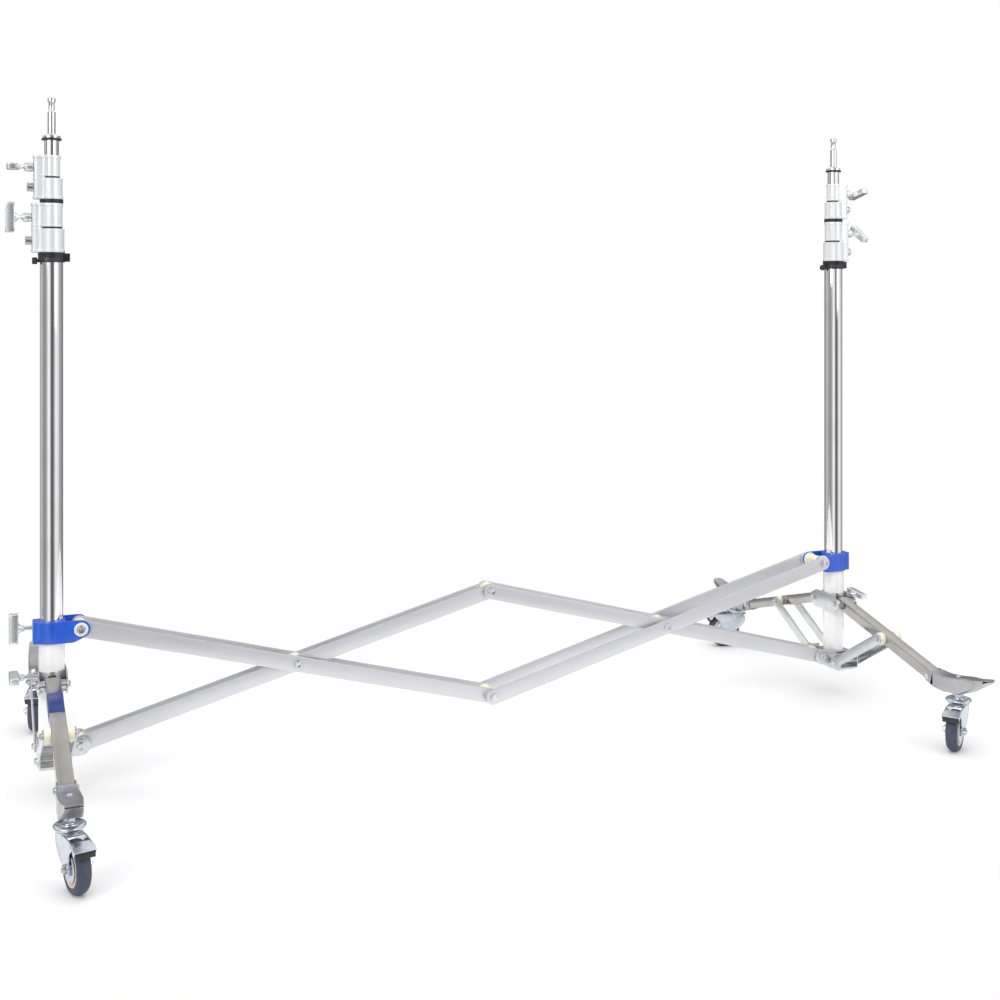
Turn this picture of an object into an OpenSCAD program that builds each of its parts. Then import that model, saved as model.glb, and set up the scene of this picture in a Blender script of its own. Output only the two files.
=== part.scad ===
// Double riser stand: two rolling telescopic columns joined by a folding scissor.
// X runs along the scissor, Y across it and Z up. The wheels stand on Z = 0, and the
// origin is on the floor, midway between the two columns.
// Each unit is drawn with its inboard side towards +X and is mirrored for the right.

/* [Spread] */
// Distance between the two column axes
stand_spacing = 1908; // [1400:1:2400]

/* [Castors] */
// Diameter of a castor wheel
wheel_d = 90; // [75:1:110]
// Width of the tyre
wheel_w = 26; // [20:1:30]
// Distance of the axle behind the swivel axis
castor_trail = 36; // [30:1:40]
// Diameter of the swivel plate
swivel_plate_d = 57; // [52:1:60]
// Thickness of the swivel plate
swivel_plate_t = 8; // [6:1:10]
// Thickness of a fork side plate
fork_t = 2.5; // [2:0.5:3]
// Diameter of the wheel axle
axle_d = 8; // [6:1:10]
// Turn of each castor's trail from +X: left front, left back, right front, right back
castor_turn = [-76, -102, -143, 160];

/* [Base] */
// Outside diameter of the white base tube
base_od = 50.8; // [49:0.1:53]
// Length of the white base tube
base_len = 201; // [190:1:230]
// Height of the base tube's lower end below the toe's underside
foot_drop = 12; // [6:1:16]
// Height of the foot bracket
foot_h = 43; // [38:1:50]
// Half length of the foot bracket along the legs
foot_half_len = 66; // [60:1:76]
// Wall of the foot bracket
foot_wall = 3; // [2:0.5:4]

/* [Column and risers] */
// Outside diameter of the column
column_od = 45; // [43:0.1:45.6]
// Wall of the column
column_wall = 2; // [1.5:0.1:2.5]
// Length of the column
column_len = 1034; // [900:1:1250]
// Outside diameter of the middle riser
mid_od = 38; // [36:0.1:39]
// Wall of the middle riser
mid_wall = 2; // [1.5:0.1:2.5]
// Length of the middle riser
mid_len = 1128; // [1000:1:1134]
// Outside diameter of the top riser
top_od = 28.6; // [26:0.1:31]
// Wall of the top riser
top_wall = 1.8; // [1.5:0.1:2.5]
// Length of the top riser
top_len = 1196; // [1000:1:1206]
// Length of the top riser that shows above the upper collar
top_show = 31; // [15:1:60]

/* [Collars] */
// Height of the lower collar
lower_collar_h = 100; // [90:1:120]
// Height of the upper collar
upper_collar_h = 89; // [80:1:110]
// Thickness of the casting around the bore
collar_wall = 2.4; // [2:0.1:4]
// Half width of the screw boss
boss_half_w = 15; // [12:1:17]
// Reach of the screw boss beyond the round body
boss_reach = 14; // [11:1:18]
// Height of the black clamp ring
clamp_ring_h = 20; // [14:1:26]
// Height of the thin bumper ring
bumper_h = 7.7; // [5:0.1:10]

/* [Stud] */
// Diameter of the stud
stud_d = 15.875; // [12:0.005:20]
// Length of the stud's plain body
stud_body = 45; // [35:1:60]
// Length of the stud's neck
stud_neck = 21.5; // [12:0.5:25]
// Diameter of the stud's neck
neck_d = 12; // [8:0.5:13]
// Length of the stud's top knob
stud_knob = 7.5; // [6:0.5:14]
// Thickness of the black stop disc
stop_t = 4; // [3:1:8]

/* [Scissor] */
// Distance of the scissor pivots from a column axis
pivot_out = 55.2; // [53:0.1:60]
// Height of the upper pivot above the base tube's top
upper_pivot_rise = 25.9; // [23:0.1:27]
// Depth of the lower pivot below the base tube's lower end
lower_pivot_drop = 10.7; // [9:0.1:12]
// Width of a scissor bar
bar_w = 33; // [28:1:35]
// Thickness of a scissor bar
bar_t = 5; // [4:0.5:5]
// Half gap between the two inner bars
bar_half_gap = 11.5; // [10:0.5:12]
// Gap between the inner and the middle pair of bars
bar_step = 3.6; // [3:0.1:4]
// Diameter of the scissor bolts
pivot_d = 10; // [8:1:12]

/* [Blue bracket] */
// Height of the blue bracket
bracket_h = 44; // [42:1:48]
// Thickness of an ear
ear_t = 5; // [4:0.5:6]
// Radius of an ear's round end
ear_r = 18; // [16:0.5:19]
// Reach of the outboard flange from the column axis
flange_reach = 36; // [34:1:40]

/* [Legs] */
// Width of a leg
leg_w = 30; // [26:1:32]
// Depth of a leg
leg_d = 25; // [20:1:26]
// Wall of a leg
leg_wall = 1.5; // [1.2:0.1:2]
// Distance of the leg pivot from the column axis
leg_pivot_y = 44; // [44:0.5:48]
// Height of the leg pivot above the toe's underside
leg_pivot_rise = 111; // [105:1:116]
// Distance of the toe bolt from the column axis
toe_bolt_y = 384; // [360:1:400]
// Height of the toe bolt above the toe's underside
toe_bolt_rise = 18; // [16:1:20]
// Distance of the castor's swivel axis beyond the toe bolt
swivel_reach = 81; // [76:1:90]
// Height of the leg collar
leg_collar_h = 45; // [40:1:48]

/* [Toes] */
// Reach of the toe's tip beyond the swivel axis
toe_reach = 105; // [98:1:125]
// Height of the tip's lower edge above the toe's underside
tip_rise = 51; // [44:1:56]
// Thickness of the folded tip
tip_t = 4; // [3:0.5:6]
// Height of the toe's top at the swivel axis
toe_crown = 35; // [33:1:38]
// Outward flare of a toe's side at the swivel axis
toe_flare = 3.5; // [2:0.5:5]

/* [Struts] */
// Width of a strut bar
strut_w = 25; // [20:1:28]
// Thickness of a strut bar
strut_t = 3; // [2:0.5:4]
// Distance of the strut's lower pivot from the column axis
strut_foot_y = 48; // [46:1:52]
// Depth of the strut's lower pivot below the toe's underside
strut_foot_drop = 36; // [32:1:38]
// Share of the leg from its pivot to the toe bolt at which the strut is bolted
strut_share = 0.507; // [0.45:0.001:0.55]
// Diameter of the leg and strut bolts
leg_bolt_d = 8; // [6:1:10]

/* [Handles] */
// Length of a T-handle's grip
grip_len = 62; // [50:1:66]
// Width of a T-handle's grip along the screw
grip_w = 18; // [14:1:20]
// Thickness of a T-handle's grip
grip_t = 14; // [10:1:16]
// Reach of a T-handle from the face that it screws into
handle_reach = 50; // [46:1:60]
// Reach of the T-handles on the blue bracket and the leg collars
low_handle_reach = 45.5; // [44:0.5:56]
// Bare length of their screws
low_handle_stem = 16.5; // [10:0.5:17]
// Diameter of a handle's screw
screw_d = 8; // [6:1:10]

// Turn of the upper collars' T-handles from level: left, right
upper_turn = [4, -14];
// Turn of the lower collars' T-handles from level: left, right
lower_turn = [88, 35];
// Turn of the leg collars' T-handles from level: left, right
leg_turn = [2, 7];

/* [Fits] */
// Gap between pieces of different bodies that face each other
gap = 0.3; // [0.2:0.05:0.4]
// Radial clearance of a turning pin or a sliding tube
fit = 0.05; // [0.02:0.01:0.08]
// Radial clearance of a pivot where a closed linkage is opened
open_fit = 1; // [0.8:0.1:1.4]
// Radial clearance of the blue bracket on the column
slide_fit = 0.4; // [0.3:0.1:0.6]
// Gap between pieces that are bolted or pressed together
seat = 0.05; // [0.02:0.01:0.08]

/* [Hidden] */
$fn = 48;

LEFT = -1;
RIGHT = 1;
FRONT = -1;
BACK = 1;
cut = 0.5;

// Castor heights, from the floor up
axle_z = wheel_d / 2;
crown_z = wheel_d + 2.5;
race_z = crown_z + 3;
race_top = race_z + 4.2;
plate_z = race_top + gap;
stem_z = plate_z + swivel_plate_t;
toe_z = stem_z + 11;
fork_in = wheel_w / 2 + 2.5;
fork_out = fork_in + fork_t;
swivel_r = swivel_plate_d / 2;
kingpin_r = 5;
stem_r = 6;
pedal_pin_r = 2.5;
pedal_x = castor_trail + 22;
pedal_z = crown_z - 3;

// Heights of the base, the column and the risers
foot_z = toe_z - foot_drop;
base_top = foot_z + base_len;
column_z = foot_z + 5;
column_top = column_z + column_len;
rim_h = 6;
rim_out = 1.2;
slot_reach = 6;
clamp_bolt_r = 9;
clamp_bolt_h = 12;
tube_seat = 3;
lower_collar_top = column_top + tube_seat + lower_collar_h / 2;
lower_collar_z = lower_collar_top - lower_collar_h;
clamp_ring_z = lower_collar_z - clamp_ring_h;
bumper_top = lower_collar_top + bumper_h;
upper_collar_z = bumper_top + gap;
upper_collar_top = upper_collar_z + upper_collar_h;
mid_top = upper_collar_top - upper_collar_h / 2 - tube_seat;
mid_z = mid_top - mid_len;
stop_z = upper_collar_top + top_show;
top_top = stop_z + stop_t;
top_z = top_top - top_len;

// Radii of the tubes and the collars
column_r = column_od / 2;
column_in = column_r - column_wall;
mid_r = mid_od / 2;
mid_in = mid_r - mid_wall;
top_r = top_od / 2;
top_in = top_r - top_wall;
base_r = base_od / 2;
lower_boss_x = column_r + collar_wall + boss_reach;
upper_boss_x = mid_r + collar_wall + boss_reach;
lower_handle_z = lower_collar_z + 0.71 * lower_collar_h;
upper_handle_z = upper_collar_z + 0.73 * upper_collar_h;
lower_bolt_z = lower_collar_z + 0.24 * lower_collar_h;
upper_bolt_z = upper_collar_z + 0.27 * upper_collar_h;

// Planes of the scissor bars, from the middle of the stand outwards in Y
inner_y = bar_half_gap;
middle_y = inner_y + bar_t + bar_step;
ear_y = middle_y + bar_t + gap + 0.1;
washer_y = ear_y + ear_t + gap + 2.2;
outer_y = washer_y;
low_z = foot_z - lower_pivot_drop;
high_z = base_top + upper_pivot_rise;
half_span = stand_spacing / 2 - pivot_out;
bar_len = sqrt(half_span * half_span + (high_z - low_z) * (high_z - low_z));
bar_angle = atan2(high_z - low_z, half_span);
pivot_r = pivot_d / 2;
tube_r = bar_w / 2 + 0.5;
scissor_head_r = 9;
scissor_head_h = 5.5;
mid_x = half_span / 2;
mid_z_bars = (low_z + high_z) / 2;

// Leg linkage, in the plane of a leg, y outwards
leg_pivot_z = toe_z + leg_pivot_rise;
toe_bolt_z = toe_z + toe_bolt_rise;
leg_drop = atan2(leg_pivot_z - toe_bolt_z, toe_bolt_y - leg_pivot_y);
leg_span = sqrt(pow(toe_bolt_y - leg_pivot_y, 2) + pow(leg_pivot_z - toe_bolt_z, 2));
leg_head = 9;
leg_tail = 16;
swivel_y = toe_bolt_y + swivel_reach;
strut_y = leg_pivot_y + strut_share * (toe_bolt_y - leg_pivot_y);
strut_z = leg_pivot_z - strut_share * (leg_pivot_z - toe_bolt_z);
strut_foot_z = toe_z - strut_foot_drop;
strut_len = sqrt(pow(strut_y - strut_foot_y, 2) + pow(strut_z - strut_foot_z, 2));
strut_rise = atan2(strut_z - strut_foot_z, strut_y - strut_foot_y);
collar_ring_r = base_r + 0.1 + 3.2;
collar_plate_t = 3;
leg_collar_z = leg_pivot_z - leg_collar_h / 2;
leg_handle_z = leg_pivot_z + 10;
bracket_z = base_top + gap;
bracket_handle_z = bracket_z + 0.7 * bracket_h;
strut_in = foot_half_x() + gap;
leg_bolt_r = leg_bolt_d / 2;
toe_wall = 2;
toe_sag = 3.5;
crown_dip = 4;
toe_flat = 13;

toe_half = leg_w / 2 + toe_wall + gap;

function foot_half_x() = collar_ring_r - 0.8;

// Place of a unit in a list: left 0, right 1
function unit(side) = side > 0 ? 1 : 0;

// Outline of a flat bar with round ends, along x from 0 to len
module bar_outline(len, w) {
  translate([0, -w / 2]) square([len, w]);
  for (x = [0, len]) translate([x, 0]) circle(d = w);
}

// Cylinder along x, from x0 to x1
module x_rod(x0, x1, r) translate([x0, 0, 0]) rotate([0, 90, 0]) cylinder(h = x1 - x0, r = r);

// Cylinder along y, from y0 to y1
module y_rod(y0, y1, r) translate([0, y0, 0]) rotate([-90, 0, 0]) cylinder(h = y1 - y0, r = r);

// Tube along z
module tube(z0, z1, r_out, r_in) {
  translate([0, 0, z0]) difference() {
    cylinder(h = z1 - z0, r = r_out);
    translate([0, 0, -cut]) cylinder(h = z1 - z0 + 2 * cut, r = r_in);
  }
}

// Hexagon head with a round washer face, along y
module hex_head(y, r, h) {
  translate([0, y, 0]) rotate([-90, 0, 0]) {
    cylinder(h = 1.2, r = r);
    cylinder(h = h, r = r * 0.92, $fn = 6);
  }
}

// Through bolt along y with a head at one end and a nut at the other
module y_bolt(half, r, head_r, head_h) {
  y_rod(-half - cut, half + cut, r);
  hex_head(half + seat, head_r, head_h);
  mirror([0, 1, 0]) hex_head(half + seat, head_r, head_h);
}

// Places of the two units, mirrored so that +x is always inboard
module at_unit(side) {
  translate([side * stand_spacing / 2, 0, 0]) mirror([side > 0 ? 1 : 0, 0, 0]) children();
}

// Places of the two legs of a unit, mirrored so that +y is always outwards
module at_leg(end) mirror([0, end < 0 ? 1 : 0, 0]) children();

// White base tube
module base_tube(side) {
  color("white") at_unit(side) tube(foot_z, base_top, base_r, column_r + fit);
}

// Chrome column
module column(side) {
  color([0.82, 0.82, 0.83]) at_unit(side) tube(column_z, column_top, column_r, column_in);
}

// Screw boss of a collar, from z0 up, with its outboard face at x = -reach
module boss(reach, half, z0, h) {
  intersection() {
    translate([-reach, -half, z0]) cube([reach, 2 * half, h]);
    translate([0, 0, z0]) cylinder(h = h, r = reach);
  }
}

// Cast collar on the top of an outer tube: its lower half holds that tube, and its narrower
// upper half clamps the inner one, with a screw boss outboard and a flexing slot inboard
module collar(z0, z1, outer_r, inner_r, boss_x, step_z, handle_z, bolt_z) {
  h = z1 - z0;
  mid = z0 + h / 2;
  r_low = outer_r + collar_wall;
  r_high = inner_r + collar_wall;
  difference() {
    union() {
      translate([0, 0, z0]) cylinder(h = h / 2, r = r_low);
      translate([0, 0, mid - cut]) cylinder(h = h / 2 + cut, r = r_high);
      translate([0, 0, z0]) cylinder(h = rim_h, r = r_low + rim_out);
      translate([0, 0, z1 - rim_h]) cylinder(h = rim_h, r = r_high + rim_out);
      translate([0, 0, mid - rim_h]) cylinder(h = rim_h, r = r_low + rim_out / 2);
      translate([0, 0, mid - cut]) cylinder(h = rim_h + cut, r = r_high + rim_out / 2);
      boss(boss_x, boss_half_w, z0, h);
      for (z = [z0, z1 - rim_h]) boss(boss_x + rim_out, boss_half_w + rim_out, z, rim_h);
    }
    translate([0, 0, z0 - cut]) cylinder(h = step_z - z0 + cut, r = outer_r + fit);
    translate([0, 0, step_z - cut]) cylinder(h = z1 - step_z + 2 * cut, r = inner_r + fit);
    translate([-slot_reach, -r_low - 2, mid - 1.5]) cube([r_low + slot_reach + 2, 2 * r_low + 4, 3]);
    translate([0, 0, handle_z]) x_rod(-boss_x - 1, 0, screw_d / 2 + fit);
  }
  translate([-boss_x - clamp_bolt_h - seat, 0, bolt_z]) rotate([0, 90, 0]) difference() {
    cylinder(h = clamp_bolt_h, r = clamp_bolt_r);
    translate([0, 0, -cut]) cylinder(h = 5, r = 4, $fn = 6);
  }
}

// Lower collar, on the top of the column
module lower_collar(side) {
  color([0.8, 0.8, 0.82]) at_unit(side)
    collar(lower_collar_z, lower_collar_top, column_r, mid_r, lower_boss_x,
      column_top, lower_handle_z, lower_bolt_z);
}

// Upper collar, on the top of the middle riser
module upper_collar(side) {
  color([0.8, 0.8, 0.82]) at_unit(side)
    collar(upper_collar_z, upper_collar_top, mid_r, top_r, upper_boss_x,
      mid_top, upper_handle_z, upper_bolt_z);
}

// Black clamp ring under the lower collar, and the thin bumper on top of it
module rings(side) {
  color([0.12, 0.12, 0.13]) translate([side * stand_spacing / 2, 0, 0]) {
    difference() {
      union() {
        translate([0, 0, clamp_ring_z]) cylinder(h = clamp_ring_h, r = column_r + 4);
        translate([column_r, -9, clamp_ring_z + 1]) cube([13, 18, clamp_ring_h - 2]);
      }
      translate([0, 0, clamp_ring_z - cut]) cylinder(h = clamp_ring_h + 2 * cut, r = column_r + fit);
      translate([column_r - 2, -1.5, clamp_ring_z - cut]) cube([16, 3, clamp_ring_h + 2 * cut]);
    }
    translate([0, 0, clamp_ring_z + 3]) x_rod(-column_r - 15, -column_r - 3, 7);
    difference() {
      translate([0, 0, lower_collar_top]) cylinder(h = bumper_h, r = mid_r + 4);
      translate([0, 0, lower_collar_top - cut]) cylinder(h = bumper_h + 2 * cut, r = mid_r + 0.4);
    }
  }
}

// Foot bracket: an open channel with a seat plate under the base tube, and two lugs for the
// lower scissor pivot
module foot_bracket(side) {
  x = foot_half_x();
  lug_r = ear_r + 0.5;
  color([0.72, 0.73, 0.74]) at_unit(side) difference() {
    union() {
      translate([-x, -foot_half_len, foot_z - foot_h])
        cube([2 * x, 2 * foot_half_len, foot_wall]);
      translate([-x, -base_r - 2, foot_z - foot_wall]) cube([2 * x, 2 * base_r + 4, foot_wall]);
      for (i = [-x, x - foot_wall]) translate([i, -foot_half_len, foot_z - foot_h])
        cube([foot_wall, 2 * foot_half_len, foot_h]);
      for (i = [-ear_y - ear_t, ear_y]) translate([0, i, 0]) {
        translate([x - foot_wall, 0, foot_z - foot_h]) cube([8, ear_t, foot_h]);
        translate([x - foot_wall, 0, low_z - lug_r]) cube([pivot_out - x + foot_wall, ear_t, 2 * lug_r]);
        translate([pivot_out, 0, low_z]) y_rod(0, ear_t, lug_r);
      }
    }
    translate([pivot_out, 0, low_z]) y_rod(-ear_y - ear_t - 1, ear_y + ear_t + 1, pivot_r + fit);
    for (y = [-strut_foot_y, strut_foot_y]) translate([0, y, strut_foot_z])
      x_rod(-x - 1, x + 1, leg_bolt_r + fit);
    for (y = [-1, 1]) translate([0, y * (foot_half_len + 4), foot_z - foot_h - 2])
      rotate([y * 30, 0, 0]) translate([-x - 1, -12, -30]) cube([2 * x + 2, 24, 40]);
  }
}

// Middle riser with its nylon guide bush at the lower end
module middle_riser(side) {
  color([0.82, 0.82, 0.83]) at_unit(side) {
    tube(mid_z, mid_top, mid_r, mid_in);
    tube(mid_z, mid_z + 40, column_in - fit, mid_r + seat);
  }
}

// Top riser with its nylon guide bush at the lower end
module top_riser(side) {
  color([0.82, 0.82, 0.83]) at_unit(side) {
    tube(top_z, top_top, top_r, top_in);
    tube(top_z, top_z + 40, mid_in - fit, top_r + seat);
  }
}

// Stud: a plug pressed into the top riser, a chamfered base, a plain body, a neck and a knob
module stud(side) {
  stud_r = stud_d / 2;
  base_h = 8.8;
  plug = 60;
  body_z = top_top + base_h;
  neck_z = body_z + stud_body;
  knob_z = neck_z + stud_neck;
  end_z = knob_z + stud_knob;
  color([0.8, 0.8, 0.82]) at_unit(side) rotate_extrude() polygon([
    [0, top_top - plug], [top_in - 0.02, top_top - plug], [top_in - 0.02, top_top],
    [top_r + 3.2, top_top], [top_r + 3.2, body_z - 4], [stud_r + 1, body_z], [stud_r, body_z],
    [stud_r, neck_z], [neck_d / 2, neck_z + 2.4], [neck_d / 2, knob_z - 2.4],
    [stud_r, knob_z], [stud_r, end_z - 1.5], [stud_r - 1.5, end_z], [0, end_z]
  ]);
}

// Black stop disc under the stud
module top_stop(side) {
  color([0.1, 0.1, 0.11]) at_unit(side) tube(stop_z, stop_z + stop_t, top_r + 5.7, top_r + 0.02);
}

// T-handle on a screw along x, outboard of a face at x = -face; turn 0 has the grip level
module t_handle(face, depth, stem, reach, hub_r, turn) {
  hub = min(16, reach - grip_w - stem);
  color([0.62, 0.63, 0.65]) rotate([turn, 0, 0]) {
    x_rod(-face - stem - 2, -face + depth, screw_d / 2);
    x_rod(-face - stem - hub, -face - stem - gap, hub_r);
    x_rod(-face - reach + 2, -face - stem - hub + 2, 5);
    translate([-face - reach, 0, -grip_t / 2]) linear_extrude(grip_t) difference() {
      union() {
        translate([0, -grip_len / 2 + grip_w / 2]) square([grip_w, grip_len - grip_w]);
        for (y = [-1, 1]) translate([grip_w / 2, y * (grip_len - grip_w) / 2]) circle(d = grip_w);
      }
      for (y = [-1, 1]) translate([grip_w + 7, y * grip_len * 0.25]) circle(r = 10);
    }
  }
}

module upper_handle(side) {
  at_unit(side) translate([0, 0, upper_handle_z])
    t_handle(upper_boss_x, upper_boss_x - top_r - 1, 0, handle_reach, 9.5, upper_turn[unit(side)]);
}

module lower_handle(side) {
  at_unit(side) translate([0, 0, lower_handle_z])
    t_handle(lower_boss_x, lower_boss_x - mid_r - 1, 0, handle_reach, 9.5, lower_turn[unit(side)]);
}

module bracket_handle(side) {
  at_unit(side) translate([0, 0, bracket_handle_z])
    t_handle(flange_reach, flange_reach - column_r - 1, low_handle_stem, low_handle_reach, 7, 90);
}

module leg_handle(side) {
  at_unit(side) translate([0, 0, leg_handle_z])
    t_handle(collar_ring_r + 7, 6, low_handle_stem, low_handle_reach, 7, leg_turn[unit(side)]);
}

// Blue bracket: wraps the column, with two ears inboard and a flange outboard
module bracket(side) {
  wrap_r = ear_y + ear_t;
  pivot_up = high_z - bracket_z;
  color([0.1, 0.27, 0.8]) at_unit(side) translate([0, 0, bracket_z]) difference() {
    union() {
      cylinder(h = bracket_h, r = wrap_r);
      translate([-flange_reach, -18, 0]) cube([flange_reach, 36, bracket_h]);
      for (y = [-wrap_r, ear_y]) translate([0, y, 0]) {
        cube([pivot_out - 12, ear_t, bracket_h]);
        translate([0, ear_t, 0]) rotate([90, 0, 0]) linear_extrude(ear_t) polygon([
          [pivot_out - 13, 0], [pivot_out, pivot_up - ear_r], [pivot_out, pivot_up + ear_r],
          [pivot_out - 13, bracket_h]]);
        translate([pivot_out, 0, pivot_up]) y_rod(0, ear_t, ear_r);
      }
    }
    translate([0, 0, -cut]) cylinder(h = bracket_h + 2 * cut, r = column_r + slide_fit);
    translate([wrap_r - 4, -ear_y, -cut]) cube([pivot_out + ear_r, 2 * ear_y, bracket_h + 2 * cut]);
    translate([pivot_out, 0, pivot_up]) y_rod(-wrap_r - 1, wrap_r + 1, pivot_r + fit);
    translate([0, 0, bracket_handle_z - bracket_z])
      x_rod(-flange_reach - 1, 0, screw_d / 2 + fit);
  }
}

// Leg collar: a ring that slides on the base tube between two plates that carry the legs
module leg_collar(side) {
  reach = leg_pivot_y + 16;
  ring_in = base_r + 0.1;
  x1 = collar_ring_r;
  x0 = x1 - collar_plate_t;
  color([0.74, 0.75, 0.76]) at_unit(side) difference() {
    union() {
      translate([0, 0, leg_collar_z]) cylinder(h = leg_collar_h, r = collar_ring_r);
      for (i = [x0, -x1]) translate([i, 0, 0]) {
        translate([0, -leg_pivot_y, leg_collar_z]) cube([collar_plate_t, 2 * leg_pivot_y, leg_collar_h]);
        for (y = [-1, 1]) translate([0, y * leg_pivot_y, leg_pivot_z]) x_rod(0, collar_plate_t, 16);
      }
      translate([0, 0, leg_handle_z]) x_rod(-x1 - 7, -x1 + 1, 9);
    }
    translate([0, 0, leg_collar_z - cut]) cylinder(h = leg_collar_h + 2 * cut, r = ring_in);
    for (y = [-1, 1]) translate([0, y * leg_pivot_y, leg_pivot_z])
      x_rod(-x1 - 1, x1 + 1, leg_bolt_r + fit);
    for (y = [-1, 1]) for (z = [-1, 1])
      translate([-x1 - 1, y * reach - 8, leg_pivot_z + z * (leg_collar_h / 2 + 3) - 6])
        cube([2 * x1 + 2, 16, 12]);
    translate([0, 0, leg_handle_z]) x_rod(-x1 - 8, -ring_in + 3, screw_d / 2 + fit);
  }
}

// Leg: rectangular tube from its pivot to the toe, with its three bolts and nylon spacers
module leg(side, end) {
  color([0.7, 0.68, 0.65]) at_unit(side) at_leg(end) {
    translate([0, leg_pivot_y, leg_pivot_z]) rotate([-leg_drop, 0, 0]) difference() {
      translate([-leg_w / 2, -leg_head, -leg_d / 2]) cube([leg_w, leg_head + leg_span + leg_tail, leg_d]);
      translate([-leg_w / 2 + leg_wall, -leg_head + 6, -leg_d / 2 + leg_wall])
        cube([leg_w - 2 * leg_wall, leg_head + leg_span + leg_tail, leg_d - 2 * leg_wall]);
      for (y = [0, strut_share * leg_span, leg_span]) translate([0, y, 0])
        x_rod(-leg_w, leg_w, leg_bolt_r + seat);
    }
    translate([0, leg_pivot_y, leg_pivot_z]) {
      leg_bolt(collar_ring_r + 0.3);
      for (i = [-1, 1]) mirror([i > 0 ? 0 : 1, 0, 0])
        spacer(leg_w / 2 + seat, collar_ring_r - collar_plate_t - gap, 10);
    }
    translate([0, strut_y, strut_z]) {
      leg_bolt(strut_in + strut_t + 0.3);
      for (i = [-1, 1]) mirror([i > 0 ? 0 : 1, 0, 0])
        spacer(leg_w / 2 + seat, strut_in - gap, 14.5);
    }
    translate([0, toe_bolt_y, toe_bolt_z]) leg_bolt(leg_w / 2 + toe_wall + gap);
  }
}

// Bolt through a leg, along x, with a head at both ends
module leg_bolt(half) {
  x_rod(-half - cut, half + cut, leg_bolt_r);
  for (i = [-1, 1]) mirror([i > 0 ? 0 : 1, 0, 0]) translate([half + seat, 0, 0]) rotate([0, 90, 0]) {
    cylinder(h = 1, r = 7);
    cylinder(h = 4.2, r = 6.6, $fn = 6);
  }
}

// Nylon spacer along x
module spacer(x0, x1, r) difference() {
  x_rod(x0, x1, r);
  x_rod(x0 - 1, x1 + 1, leg_bolt_r + seat);
}

// Points of the toe's side outline, grown inwards by t; y outwards, z up
function toe_side(t) = let (
  s = sin(leg_drop), c = cos(leg_drop),
  y0 = leg_pivot_y + (leg_span - 14) * c, z0 = leg_pivot_z - (leg_span - 14) * s,
  half = leg_d / 2 + toe_wall + gap - t,
  back = t > 0 ? 6 : 0,
  sole = toe_z - toe_sag + t
) [
  [y0 - half * s - back * c, z0 - half * c + back * s],
  [y0 - half * s + (z0 - half * c - sole) * c / s, sole],
  [swivel_y - 24, sole], [swivel_y - toe_flat, toe_z + t], [swivel_y + toe_flat, toe_z + t],
  [swivel_y + toe_reach / 3, toe_z + 0.18 * tip_rise + t],
  [swivel_y + toe_reach - tip_t - 2.2 * t, toe_z + tip_rise - tip_t],
  [swivel_y + toe_reach - 3 * t, toe_z + tip_rise],
  [swivel_y + toe_reach - 3 * t, toe_z + tip_rise + tip_t - t],
  [swivel_y + 0.58 * toe_reach, toe_z + tip_rise - 6 - t],
  [swivel_y + 0.31 * toe_reach, toe_z + toe_crown + 7 - t],
  [swivel_y - 0.12 * swivel_reach, toe_z + toe_crown - 1 - t],
  [swivel_y - 0.68 * swivel_reach, toe_z + toe_crown - crown_dip - t],
  [y0 + half * s - back * c, z0 + half * c + back * s]
];

// Points of the toe's half plan, grown inwards by t
function toe_plan(t) = let (w = toe_half - t) [
  [toe_bolt_y - 0.74 * swivel_reach, w], [toe_bolt_y + 0.25 * swivel_reach, w],
  [swivel_y - 0.25 * swivel_reach, w + toe_flare],
  [swivel_y + 0.27 * toe_reach, w + toe_flare], [swivel_y + 0.62 * toe_reach, w + 0.5],
  [swivel_y + 0.96 * toe_reach, w - 2.5], [swivel_y + 1.01 * toe_reach, w - 6]
];

module toe_solid(t) {
  half = toe_plan(t);
  outline = concat([for (p = half) [p[1], p[0]]],
    [for (i = [len(half) - 1:-1:0]) [-half[i][1], half[i][0]]]);
  intersection() {
    translate([-toe_half - 2 * toe_flare, 0, 0]) rotate([90, 0, 90])
      linear_extrude(2 * toe_half + 4 * toe_flare) polygon(toe_side(t));
    translate([0, 0, toe_z - tip_rise]) linear_extrude(4 * tip_rise) polygon(outline);
  }
}

// Toe: a folded steel shoe on the end of the leg, with the castor's plate, stem and nut
module toe(side, end) {
  color([0.7, 0.7, 0.71]) at_unit(side) at_leg(end) {
    difference() {
      toe_solid(0);
      toe_solid(toe_wall);
      translate([0, toe_bolt_y, toe_bolt_z]) x_rod(-40, 40, leg_bolt_r + seat);
      translate([0, swivel_y, toe_z - 1]) cylinder(h = 6, r = stem_r + seat);
    }
    translate([0, swivel_y, 0]) {
      translate([0, 0, crown_z - 3.5]) cylinder(h = 3.2, r = 8);
      translate([0, 0, crown_z - 3]) cylinder(h = plate_z - crown_z + 4, r = kingpin_r);
      translate([0, 0, plate_z]) rotate_extrude() polygon([
        [0, 0], [swivel_r - 3, 0], [swivel_r, 2], [swivel_r, 4], [swivel_r - 4, swivel_plate_t],
        [0, swivel_plate_t]]);
      translate([0, 0, stem_z - cut]) cylinder(h = toe_z - stem_z + cut - seat, r = 11, $fn = 6);
      translate([0, 0, toe_z - cut]) cylinder(h = 16, r = stem_r);
      translate([0, 0, toe_z + toe_wall + seat]) difference() {
        cylinder(h = 8, r = 10.5, $fn = 6);
        translate([0, 0, -cut]) cylinder(h = 9, r = stem_r + seat);
      }
    }
    translate([0, swivel_y, toe_z + toe_crown - cut]) cylinder(h = 4, r = 4.5);
  }
}

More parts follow.
